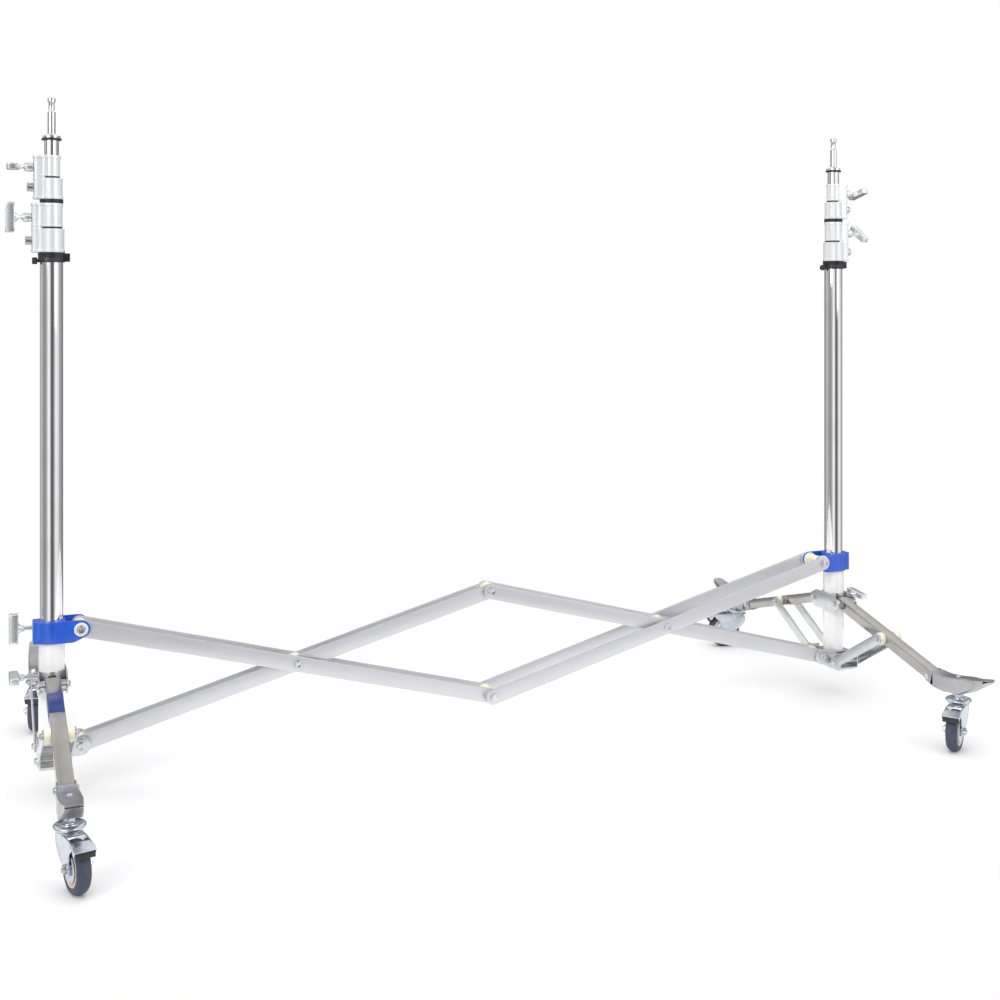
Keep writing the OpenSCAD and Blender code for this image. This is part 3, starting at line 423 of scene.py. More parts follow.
def knurl(r, low, high, at, axis, teeth=18, depth=0.5, steps=108):
    """Knob with finger flutes: the radius is r - depth (1 + cos(teeth t)) / 2 on its side."""
    t = angles(steps)
    h, base, amount = np.array([
        (low, r - 1, 0), (low + 0.6, r - 0.3, 0.4), (low + 1.6, r, 1), (high - 1.6, r, 1),
        (high - 0.6, r - 0.3, 0.4), (high, r - 1, 0)]).T[:, :, None]
    radius = base - depth * amount * (1 + np.cos(teeth * t)) / 2
    return about(radius, h, t, at, axis), False


for name, side in SIDES.items():
    high, centre = span(name + "_rings")[1], side * SPAN / 2
    collar_low, collar_top = (corner[2] for corner in span(name + "_lower_collar"))
    low = collar_low - 20
    ring = mirrored([(22.6, -9.4), (23.2, -10), (25.6, -10), (26.5, -9), (26.5, -3.8),
                     (26.1, -3.2)])
    lugs = [plate(rounded([(24, y), (35.5, y), (35.5, y + 7.4 * w), (24, y + 7.4 * w)], 1.5),
                  low + 1.5, low + 18.5, 0.8, axis=2) for w, y in ((-1, -1.6), (1, 1.6))]
    screw = turned([(2.4, -9.6), (3.6, -9.6), (3.6, 9.6), (2.4, 9.6)], (31, 0, low + 10), 1, 24)
    knob = knurl(7, -37.5, -27.5, (0, 0, low + 3), 0)
    shank = turned([(3, -28), (3, -24)], (0, 0, low + 3), 0, 24)
    made = [(r + [centre, 0, 0], *rest) for r, *rest in
            [turned(ring, (0, 0, low + 10), wrap=True), *lugs, screw, knob, shank]]
    piece(name + "_clamp_ring", name + "_unit", black, made,
          [name + "_rings"])
    bumper = rounded([(19.4, collar_top), (23, collar_top), (23, high[2]), (19.4, high[2])], 1.4)
    piece(name + "_bumper", name + "_unit", black,
          [turned(bumper, (centre, 0, 0), wrap=True)])
    low, high = span(name + "_top_stop")
    disc = [(14.4, low[2] + 0.5), (16, low[2]), (19, low[2] + 0.3), (20, low[2] + 1.2),
            (20, high[2] - 1.2), (19, high[2] - 0.3), (16.5, high[2]), (14.4, high[2] - 0.4)]
    piece(name + "_stop_disc", name + "_top_riser", black,
          [turned(disc, wrap=True)], [name + "_top_stop"], side)

# Studs
# The 16 mm stud is turned from steel and plated: a plug in the riser, a chamfered base, the
# plain body, a waisted neck that a receiver's pin catches, and a knob.

pin = Finish("turned_stud", Metallic=1.0)
rings = pin.noise(1, 2, stretch=(12, 12, 1500))
pin.set(Base_Color=rings.step(0.35, 0.7).paint((0.9, 0.9, 0.92), (0.76, 0.76, 0.79)),
        Roughness=rings * 0.12 + 0.07)
pin.bump(rings, 0.00003, 0.2)

STUD_R, NECK_R, KNOB_H, NECK_H, PIN_H = 7.9375, 6.0, 7.5, 29.0, 74.0
for name, side in SIDES.items():
    low, high = span(name + "_stud")
    top = high[2]
    knob, neck, foot = top - KNOB_H, top - NECK_H, top - PIN_H
    profile = [(12.3, low[2]), (12.45, low[2] + 0.6), (12.45, foot - 8.8), (17, foot - 8.7),
               (17.5, foot - 8.2), (17.5, foot - 4.4), (17, foot - 3.9), (9.6, foot - 0.4),
               (8.9, foot), (STUD_R, foot + 0.5), (STUD_R, neck - 0.5), (STUD_R - 0.4, neck),
               (NECK_R + 0.3, neck + 2.2), (NECK_R, neck + 2.9), (NECK_R, knob - 2.9),
               (NECK_R + 0.3, knob - 2.2), (STUD_R - 0.4, knob), (STUD_R, knob + 0.5),
               (STUD_R, top - 1.8), (STUD_R - 0.5, top - 0.8), (STUD_R - 1.5, top), (2, top),
               (1.2, top - 0.6)]
    piece(name + "_pin", name + "_top_riser", pin,
          [turned(profile)], [name + "_stud"], side, sharp=25)

# T-handles
# Each locking screw has a T-handle, a plated zinc casting on an 8 mm screw: a round hub or a
# bare screw, a thin waist, and a web that flares into the flat grip.

diecast = clouded("plated_diecast", (40, 4), (0.88, 0.885, 0.91), (0.74, 0.745, 0.77),
                  (0.12, 0.2), (500, 3, 0.00008, 0.3), (0.35, 0.75), Metallic=0.85)


def t_handle(face, stem, reach, depth, z, turn):
    """Casting lofted along the screw: at each distance d the section is a superellipse whose
    half length and half thickness grow from the hub, or a bare screw, to the waist to the
    grip."""
    hub = [(0.3, 8.3, 8.3, 2), (0.9, 9.3, 9.3, 2), (1.8, 9.5, 9.5, 2), (13, 9.5, 9.5, 2),
           (15.4, 8.6, 8.6, 2), (18, 5.4, 5.4, 2), (20, 3.4, 3.4, 2)]
    cone = [(stem - 0.6, 3.6, 3.6, 2), (stem, 5.2, 5.2, 2), (stem + 1, 6, 6, 2)]
    rows = (hub if stem == 0 else cone) + [
        (reach - 26 + stem * 0.3, 4.4 + stem * 0.16, 4.4 + stem * 0.16, 2),
        (reach - 22, 7.4, 6.4, 2.2), (reach - 19.4, 9.4, 7, 2.6), (reach - 18.2, 12, 7.1, 3),
        (reach - 17.8, 20, 7, 4), (reach - 17.5, 28, 6.6, 6), (reach - 16.6, 30.6, 7, 8),
        (reach - 15, 31, 7, 9), (reach - 2, 31, 7, 9), (reach - 0.7, 30.5, 6.5, 8),
        (reach, 29.4, 5.6, 6)]
    d, length, thick, power = np.array(rows).T[:, :, None]
    c, s = np.cos(angles(96)), np.sin(angles(96))
    a = length * np.sign(c) * abs(c) ** (2 / power)
    b = thick * np.sign(s) * abs(s) ** (2 / power)
    angle = math.radians(turn)
    y, w = a * math.cos(angle) - b * math.sin(angle), a * math.sin(angle) + b * math.cos(angle)
    casting = np.stack([-face - d + 0 * a, y, z + w], -1), False
    screw = turned([(3.2, -face + depth), (4, -face + depth - 1), (4, -face - stem - 4)],
                   (0, 0, z), 0, 32)
    return casting, screw


UPPER_Z, LOWER_Z, BRACKET_SCREW_Z, COLLAR_SCREW_Z = 1271.97, 1170.0, 339.1, 240.0
# Face that the screw enters, bare screw, reach, depth, height, and each side's turn.
HANDLES = {
    "upper": (35.4, 0, 50, 20.1, UPPER_Z, {"left": 4, "right": -14}),
    "lower": (38.9, 0, 50, 18.9, LOWER_Z, {"left": 88, "right": 35}),
    "bracket": (36.0, 16.5, 45.5, 12.5, BRACKET_SCREW_Z, {"left": 90}),
    "leg": (35.7, 16.5, 45.5, 6.0, COLLAR_SCREW_Z, {"left": 2, "right": 7}),
}
for kind, (face, stem, reach, depth, z, turns) in HANDLES.items():
    for name, turn in turns.items():
        casting, screw = t_handle(face, stem, reach, depth, z, turn)
        node = f"{name}_{kind}_handle"
        piece(node + "_grip", node, diecast, [casting], [node], SIDES[name], sharp=30)
        piece(node + "_screw", node, plated, [screw], side=SIDES[name])

# Blue brackets
# A bracket bent from 5 mm steel and coated royal blue wraps each column: a flange outboard
# takes the T-handle, and two ears inboard hold the upper ends of the scissor bars.

BORE, WRAP_R, EAR_IN, EAR_R, BRACKET_H = 22.9, 30.5, 25.5, 18.0, 44.0
PIVOT_X, LOW_Z, HIGH_Z = 55.2, 96.3, 333.9
FLANGE_X, FLANGE_Y, FLAT_X = 36.0, 18.0, 26.5

blue = clouded("royal_blue_coat", (30, 4), (0.012, 0.085, 0.56), (0.02, 0.13, 0.68),
               (0.12, 0.26), (520, 2, 0.00015, 0.4), IOR=1.5, Coat_Weight=0.35,
               Coat_Roughness=0.15)


def wrapped(outer, inner, low, high, edge):
    """Ring between two plan outlines of as many points, with its outer edges drawn round."""
    u = np.linspace(0, math.pi / 2, 4)
    centre = inner.mean(0)
    way = (outer - centre) / np.linalg.norm(outer - centre, axis=1, keepdims=True)
    inwards, rise = edge * (1 - np.sin(u)), edge * (1 - np.cos(u))
    level = np.r_[low + rise, (high - rise)[::-1], high, low]
    flat = np.array([outer - way * k for k in np.r_[inwards, inwards[::-1]]] + [inner, inner])
    return np.concatenate([flat, level[:, None, None] + 0 * flat[..., :1]], -1), True


def circle(r, steps=96):
    """Outline of the points r cos t, r sin t."""
    return np.stack([r * np.cos(angles(steps)), r * np.sin(angles(steps))], -1)


for name, side in SIDES.items():
    z0 = span(name + "_bracket")[0][2]
    c, s = circle(1, 144).T
    flange = np.minimum(FLANGE_X / abs(c - 1e-9), FLANGE_Y / abs(s + 1e-9))
    flange = np.where(c < 0, flange, 0)
    radius = np.maximum(WRAP_R, flange)
    radius = np.where(c > 0, np.minimum(radius, FLAT_X / abs(c + 1e-9)), radius)
    k = np.array([1, 2, 3, 4, 3, 2, 1]) / 16
    eased = np.convolve(np.pad(radius, 3, "wrap"), k, "valid")
    radius = np.where((c < 0) & (abs(s) > 0.52), eased, radius)
    body = wrapped(np.stack([radius * c, radius * s], -1), circle(BORE, 144), z0,
                   z0 + BRACKET_H, 1.2)
    rise = HIGH_Z - z0
    u = np.radians(np.linspace(-68, 84, 19))
    nose = np.stack([PIVOT_X + EAR_R * np.cos(u), rise + EAR_R * np.sin(u)], -1)
    corners = rounded([(2, 0), (42, 0), (52, 4.6), (nose[0, 0], nose[0, 1])], 6, closed=False)
    top = rounded([nose[-1], (50, BRACKET_H), (2, BRACKET_H)], 3, closed=False)
    ear = np.concatenate([corners[:-1], nose, top[1:]]) + [0, z0]
    ears = [plate(ear, y, y + 5, 0.9) for y in (-EAR_IN - 5, EAR_IN)]
    piece(name + "_blue_wrap", name + "_bracket", blue, [body, *ears],
          [name + "_bracket"], side)
    if name == "left":
        nut = turned([(8.2, -35.9), (8.2, -37.2), (7.4, -37.9), (4.3, -37.9)],
                     (0, 0, BRACKET_SCREW_Z), 0, 48)
        piece("left_flange_nut", "left_bracket", plated, [nut], side=side)

# Foot brackets
# A channel pressed from 3 mm steel, bright zinc plated, is welded under each base tube. It
# holds the struts' lower bolts between its sides and has two lugs for the scissor's pivot.

FOOT_Z, FOOT_X, FOOT_H, FOOT_Y = 107.0, 27.9, 43.0, 66.0
FOOT_BEND, FOOT_RISE, LUG_R = 54.6, 0.58, 18.5

zinc = Finish("bright_zinc", Metallic=1.0)
spangle = zinc.noise(55, 4).step(0.3, 0.75)
scratch = zinc.noise(1, 3, stretch=(40, 700, 700)).step(0.45, 0.8)
zinc.set(Base_Color=spangle.paint((0.71, 0.715, 0.73), (0.63, 0.64, 0.655)),
         Roughness=spangle * 0.06 + scratch * 0.08 + 0.22)
zinc.bump(zinc.noise(420, 3), 0.00008, 0.12)


def carried(rows, y):
    """Sections (x, z), one at each y, as rings."""
    return np.stack([rows[..., 0], y[:, None] + 0 * rows[..., 0], rows[..., 1]], -1)


for name, side in SIDES.items():
    y = np.array([-FOOT_Y, -FOOT_Y + 0.6, -58, -54, -46, 0, 46, 54, 58, FOOT_Y - 0.6, FOOT_Y])
    foot = FOOT_Z - FOOT_H + np.clip((abs(y) - FOOT_BEND) * FOOT_RISE, 0, None)
    inset = np.where(abs(y) == FOOT_Y, 0.6, 0)
    x, w = FOOT_X, 3.0
    rows = np.array([rounded(
        [(k - x, FOOT_Z - k), (k - x, z + k), (x - k, z + k), (x - k, FOOT_Z - k),
         (x - w + k, FOOT_Z - k), (x - w + k, z + w - k), (w - x - k, z + w - k),
         (w - x - k, FOOT_Z - k)], [0.7, 4.5, 4.5, 0.7, 0.7, 1.8, 1.8, 0.7])
        for z, k in zip(foot, inset)])
    channel = carried(rows, y), False
    seat = plate([(-24.8, -27), (24.8, -27), (24.8, 27), (-24.8, 27)], FOOT_Z - w, FOOT_Z - 0.1,
                 0.4, axis=2)
    u = np.radians(np.linspace(-90, 90, 21))
    nose = np.stack([PIVOT_X + LUG_R * np.cos(u), LOW_Z + LUG_R * np.sin(u)], -1)
    lug = np.concatenate([[(24, LOW_Z - LUG_R)], nose, [(24, LOW_Z + LUG_R)]])
    lugs = [plate(lug, k, k + 5, 0.7) for k in (-EAR_IN - 5, EAR_IN)]
    piece(name + "_foot_channel", name + "_unit", zinc, [channel, seat, *lugs],
          [name + "_foot_bracket"], side)

# Leg collars
# Two zinc plates, joined by a ring that slides on the white tube, carry the tops of the legs.
# Their ends are rounded, and a boss outboard takes the T-handle that locks the collar.

COLLAR_X, LEG_Y, LEG_Z, EYE_R, COLLAR_HALF = 28.7, 44.0, 230.0, 16.0, 22.5

for name, side in SIDES.items():
    u = np.radians(np.linspace(-78, 78, 19))
    low, high = LEG_Z - COLLAR_HALF, LEG_Z + COLLAR_HALF
    nose = np.stack([LEG_Y + EYE_R * np.cos(u), LEG_Z + EYE_R * np.sin(u)], -1)
    side_plate = np.concatenate([
        nose, rounded([nose[-1], (LEG_Y - 8, high), (8 - LEG_Y, high), nose[-1] * [-1, 1]], 7,
                      closed=False)[1:-1],
        (nose * [-1, 1])[::-1],
        rounded([nose[0] * [-1, 1], (8 - LEG_Y, low), (LEG_Y - 8, low), nose[0]], 7,
                closed=False)[1:-1]])
    plates = [plate(side_plate, x, x + 3, 0.6, axis=0) for x in (-COLLAR_X, COLLAR_X - 3)]
    ring = tube(low, high, COLLAR_X - 0.2, 25.5, 0.8, steps=96)
    boss = turned([(8.9, -27.5), (9, -34.4), (8.2, -35.4), (4.2, -35.4), (4.2, -30)],
                  (0, 0, COLLAR_SCREW_Z), 0, 48)
    piece(name + "_collar_plates", name + "_leg_collar", zinc, [ring, *plates, boss],
          [name + "_leg_collar"], side)

# Legs
# Four legs of 30 x 25 mm brushed stainless tube run down to the toes. Bolts with sleeves and
# nylon spacers pass through them, and a blue band is wrapped round the left front one.

LEG_W, LEG_D, LEG_WALL, LEG_HEAD, LEG_TAIL = 30.0, 25.0, 1.5, 9.0, 16.0
TOE_Y, TOE_BOLT_Z, STRUT_SHARE = 384.0, 137.0, 0.507
DROP = math.atan2(LEG_Z - TOE_BOLT_Z, TOE_Y - LEG_Y)
LEG_LONG = math.hypot(LEG_Z - TOE_BOLT_Z, TOE_Y - LEG_Y)
STRUT_IN, STRUT_T = 28.2, 3.0
ENDS = {"front": -1, "back": 1}
CORNERS = [(name, side, place, end) for name, side in SIDES.items()
           for place, end in ENDS.items()]

stainless = Finish("brushed_stainless", Metallic=1.0)
brushed = stainless.noise(1, 2, stretch=(9, 1400, 1), along="UV")
patch = stainless.noise(16, 3).step(0.35, 0.75)
stainless.set(Base_Color=(brushed * 0.5 + patch * 0.4).paint((0.52, 0.5, 0.475),
                                                          (0.33, 0.315, 0.3)),
              Roughness=brushed * 0.08 + patch * 0.06 + 0.08)
stainless.bump(brushed, 0.00005, 0.25)

blue_band = clouded("blue_band", (40, 3), (0.012, 0.032, 0.17), (0.018, 0.046, 0.24),
                    (0.15, 0.3), (700, 2, 0.00006, 0.3), IOR=1.5, Coat_Weight=0.2,
                    Coat_Roughness=0.2)


def bar_section(width, depth, radius):
    """Rounded rectangle, x across and b up."""
    w, d = width / 2, depth / 2
    return rounded([(-w, -d), (w, -d), (w, d), (-w, d)], radius)


def on_leg(section, s):
    """A section x, b at distances s down the leg: y and z follow the leg's own slope."""
    x, b = section[None, :, 0], section[None, :, 1]
    s = np.asarray(s, float)[:, None]
    y = LEG_Y + s * math.cos(DROP) + b * math.sin(DROP)
    z = LEG_Z - s * math.sin(DROP) + b * math.cos(DROP)
    return np.stack([x + 0 * y, y, z], -1)


def leg_point(share):
    """Point y, z at a share of the way from the leg's pivot to the toe bolt."""
    return (LEG_Y + share * (TOE_Y - LEG_Y), LEG_Z - share * (LEG_Z - TOE_BOLT_Z))


def bolt(half, at, axis=0, r=4.0, big=7.0, high=5.2):
    """Bolt along an axis: a shank, and a washer and a hexagon head or nut at both ends."""
    seat = np.eye(3)[axis] * (half + 0.05)
    return [turned([(r, -half - 0.5), (r, half + 0.5)], at, axis, 32)] + [
        head(big, high, at + w * seat, axis, w) for w in (-1, 1)]


for name, side, place, end in CORNERS:
    leg = f"{name}_{place}_leg"
    outer = bar_section(LEG_W, LEG_D, 3)
    inner = bar_section(LEG_W - 2 * LEG_WALL, LEG_D - 2 * LEG_WALL, 1.8)
    lips = bar_section(LEG_W - 0.8, LEG_D - 0.8, 2.8)
    top, tail = -LEG_HEAD, LEG_LONG + LEG_TAIL
    rows = [on_leg(lips, [top]), on_leg(outer, [top + 0.4, tail - 0.4]), on_leg(lips, [tail]),
            on_leg(inner, [tail, top])]
    piece(leg + "_tube", leg, stainless, [(np.concatenate(rows), True)], [leg],
          side, end)
    bolts = (bolt(COLLAR_X + 0.3, (0, LEG_Y, LEG_Z))
             + bolt(STRUT_IN + STRUT_T + 0.3, (0, *leg_point(STRUT_SHARE)))
             + bolt(LEG_W / 2 + 2.3, (0, TOE_Y, TOE_BOLT_Z)))
    piece(leg + "_bolts", leg, plated, bolts, side=side, end=end)
    spacers = {}
    for share, half, r in ((0, COLLAR_X - 3.3, 10), (STRUT_SHARE, STRUT_IN - 0.3, 14.5)):
        y, z = leg_point(share)
        spacers[share] = [
            tube(*sorted((w * (LEG_W / 2 + 0.05), w * half)), r, 4.05, 1.0, at=(0, y, z),
                 axis=0, steps=48) for w in (-1, 1)]
    piece(leg + "_sleeves", leg, plated, spacers[0], side=side, end=end)
    piece(leg + "_spacers", leg, nylon, spacers[STRUT_SHARE], side=side, end=end)

lap = [on_leg(bar_section(LEG_W + k, LEG_D + k, 3.2), [s]) for k, s in
       ((0.3, 50), (0.7, 50.3), (0.7, 119.7), (0.3, 120))]
lap += [on_leg(bar_section(LEG_W + 0.1, LEG_D + 0.1, 3), [s]) for s in (120, 50)]
piece("left_front_leg_band", "left_front_leg", blue_band,
      [(np.concatenate(lap), True)], side=-1, end=-1)

# Struts
# A pair of flat zinc-plated bars, 25 x 3 mm with round ends, props each leg from the foot
# bracket. They turn on a bolt at the bracket and on the leg's middle bolt.

STRUT_Y, STRUT_Z = 48.0, 83.0
KNEE = np.array(leg_point(STRUT_SHARE))
STRUT_LONG = float(np.hypot(*(KNEE - [STRUT_Y, STRUT_Z])))
STRUT_RISE = math.atan2(KNEE[1] - STRUT_Z, KNEE[0] - STRUT_Y)


def slot_outline(length, width, steps=17):
    """Flat bar from (0, 0) to (length, 0), with a half circle round each end."""
    u = np.linspace(-math.pi / 2, math.pi / 2, steps)
    right = np.stack([length + width / 2 * np.cos(u), width / 2 * np.sin(u)], -1)
    return np.concatenate([right, [length, 0] - right])


def laid(shape, angle, at, first=0, second=2):
    """Turns a plate in its own plane, from its first axis towards its second, and puts its
    origin at a point of that plane."""
    rings, wrap, uv = shape
    a, b = rings[..., first].copy(), rings[..., second].copy()
    moved = rings.copy()
    moved[..., first] = at[0] + a * math.cos(angle) - b * math.sin(angle)
    moved[..., second] = at[1] + a * math.sin(angle) + b * math.cos(angle)
    return moved, wrap, uv


for name, side, place, end in CORNERS:
    strut = f"{name}_{place}_strut"
    bars = [laid(plate(slot_outline(STRUT_LONG, 25), x, x + STRUT_T, 0.6, axis=0),
                 STRUT_RISE, (STRUT_Y, STRUT_Z), 1, 2)
            for x in (-STRUT_IN - STRUT_T, STRUT_IN)]
    piece(strut + "_bars", strut, zinc, bars, [strut], side, end)
    piece(strut + "_bolt", strut, plated,
          bolt(STRUT_IN + STRUT_T, (0, STRUT_Y, STRUT_Z)), side=side, end=end)

# Toes
# A shoe folded from satin sheet steel closes the end of each leg. It is bolted across the leg,
# carries the castor's stem, and runs out into a flattened, folded tip.

SWIVEL_Y, TOE_Z, SHEET = 465.0, 119.0, 1.7
TIP_Y = SWIVEL_Y + 105

satin = Finish("satin_steel", Metallic=1.0)
roll = satin.noise(1, 3, stretch=(260, 8, 260))
patch = satin.noise(22, 3).step(0.3, 0.75)
satin.set(Base_Color=(roll * 0.4 + patch * 0.4).paint((0.53, 0.525, 0.54),
                                                      (0.38, 0.375, 0.39)),
          Roughness=roll * 0.14 + patch * 0.1 + 0.22)
satin.bump(satin.noise(500, 3), 0.00008, 0.3)


def along(y, knots):
    """Height or width at y between knots (y, value), with its bends eased by averaging."""
    at, value = np.array(knots, float).T
    return np.mean([np.interp(y + k, at, value) for k in (-4, -2, 0, 2, 4)], axis=0)


def shoe(y, floor, roof, half, radius):
    """Box section that changes along y: floor and roof heights, half width, corner radius."""
    rows = np.array([rounded([(-w, a), (w, a), (w, b), (-w, b)], r, 6)
                     for w, a, b, r in zip(half, floor, roof, radius)])
    return carried(rows, y), False


# Floor and roof heights and half width at each y, from the leg out to the tip.
FLOOR = [(366, 127.6), (406.2, 115.5), (441, 115.5), (452, 119), (478, 119), (500, 128.2),
         (562, 165), (570, 169.6)]
ROOF = [(366, 157), (374.5, 154.9), (410, 150.5), (428, 150), (455, 153), (497.5, 161),
        (526, 164), (570, 174)]
HALF = [(366, 17.3), (404, 17.3), (445, 20.8), (493, 20.8), (530, 17.8), (565, 14.8),
        (570, 13)]
for name, side, place, end in CORNERS:
    leg, toe = f"{name}_{place}_leg", f"{name}_{place}_toe"
    y = np.linspace(396, 534, 50)
    floor, roof, half = along(y, FLOOR), along(y, ROOF), along(y, HALF)
    body = shoe(y, floor, roof, half, np.full(len(y), 3.0))
    body[0][0, :, 1] += (body[0][0, :, 2] - 141) * 0.27
    u = np.radians(np.linspace(262, 92, 19))
    cheek = np.stack([TOE_Y + 14.5 * np.cos(u), TOE_BOLT_Z + 14.5 * np.sin(u)], -1)
    cheek = np.concatenate([[(402, 117)], cheek, [(400, 149.5)]])
    cheeks = [plate(cheek, x, x + 2, 0.5, axis=0) for x in (-17.3, 15.3)]
    lips = []
    for low_lip in (True, False):
        y = np.linspace(530, TIP_Y, 16)
        floor, roof, half = along(y, FLOOR), along(y, ROOF), along(y, HALF)
        half[-3:] -= [0.6, 2, 4.5]
        a = floor if low_lip else roof - SHEET
        b = floor + SHEET if low_lip else roof
        lips.append(shoe(y, a, b, half, np.full(len(y), 0.8)))
    for w in (-1, 1):
        y = np.linspace(530, 559, 10)
        floor, roof, half = along(y, FLOOR), along(y, ROOF), along(y, HALF)
        rows = np.array([rounded([(w * (h - SHEET), a), (w * h, a), (w * h, b),
                                  (w * (h - SHEET), b)], 0.5)
                         for h, a, b in zip(half, floor, roof)])
        lips.append((carried(rows, y), False))
    rivet = turned([(5.4, 153), (5.4, 156.4), (5, 157), (3.4, 157.8), (0.8, 158)],
                   (0, SWIVEL_Y, 0), 2, 32)
    piece(toe + "_shoe", leg, satin, [body, *cheeks, *lips], [toe], side, end,
          sharp=32)
    piece(toe + "_rivet", leg, plated, [rivet], side=side, end=end)

# Castors
# Swivel castors with 90 mm wheels, bright blue-zinc pressings: a plate with a rolled rim on a
# threaded stem, a ball race, a two-sided fork, and a brake pedal with a black pad.

AXLE_Z, RACE_Z, PLATE_Z, STEM_Z, TRAIL = 45.0, 95.5, 100.0, 108.0, 36.0
CASTOR_TURN = {"left_front": -76, "left_back": -102, "right_front": -143, "right_back": 160}
FORK_IN, FORK_T, PEDAL_X, PEDAL_Z = 15.5, 2.5, 58.0, 89.5

blue_zinc = clouded("blue_zinc", (70, 4), (0.65, 0.69, 0.75), (0.55, 0.59, 0.65),
                    (0.07, 0.23), (380, 3, 0.00007, 0.15), Metallic=1.0)
rubber = clouded("grey_rubber", (38, 4), (0.038, 0.048, 0.082), (0.075, 0.085, 0.12),
                 (0.2, 0.5), (700, 3, 0.0002, 0.4), (0.4, 0.75), IOR=1.5)
core = clouded("beige_core", (60, 3), (0.62, 0.46, 0.37), (0.74, 0.6, 0.5), (0.15, 0.4),
               (900, 2, 0.0001, 0.3), IOR=1.49)


def at_castor(shape, name, place):
    """From the castor's own frame, x along its trail, to the row frame."""
    rings, *rest = shape
    angle = math.radians(CASTOR_TURN[f"{name}_{place}"])
    x, y, z = np.moveaxis(rings, -1, 0)
    return (np.stack([SIDES[name] * SPAN / 2 + x * math.cos(angle) - y * math.sin(angle),
                      ENDS[place] * SWIVEL_Y + x * math.sin(angle) + y * math.cos(angle), z],
                     -1), *rest)


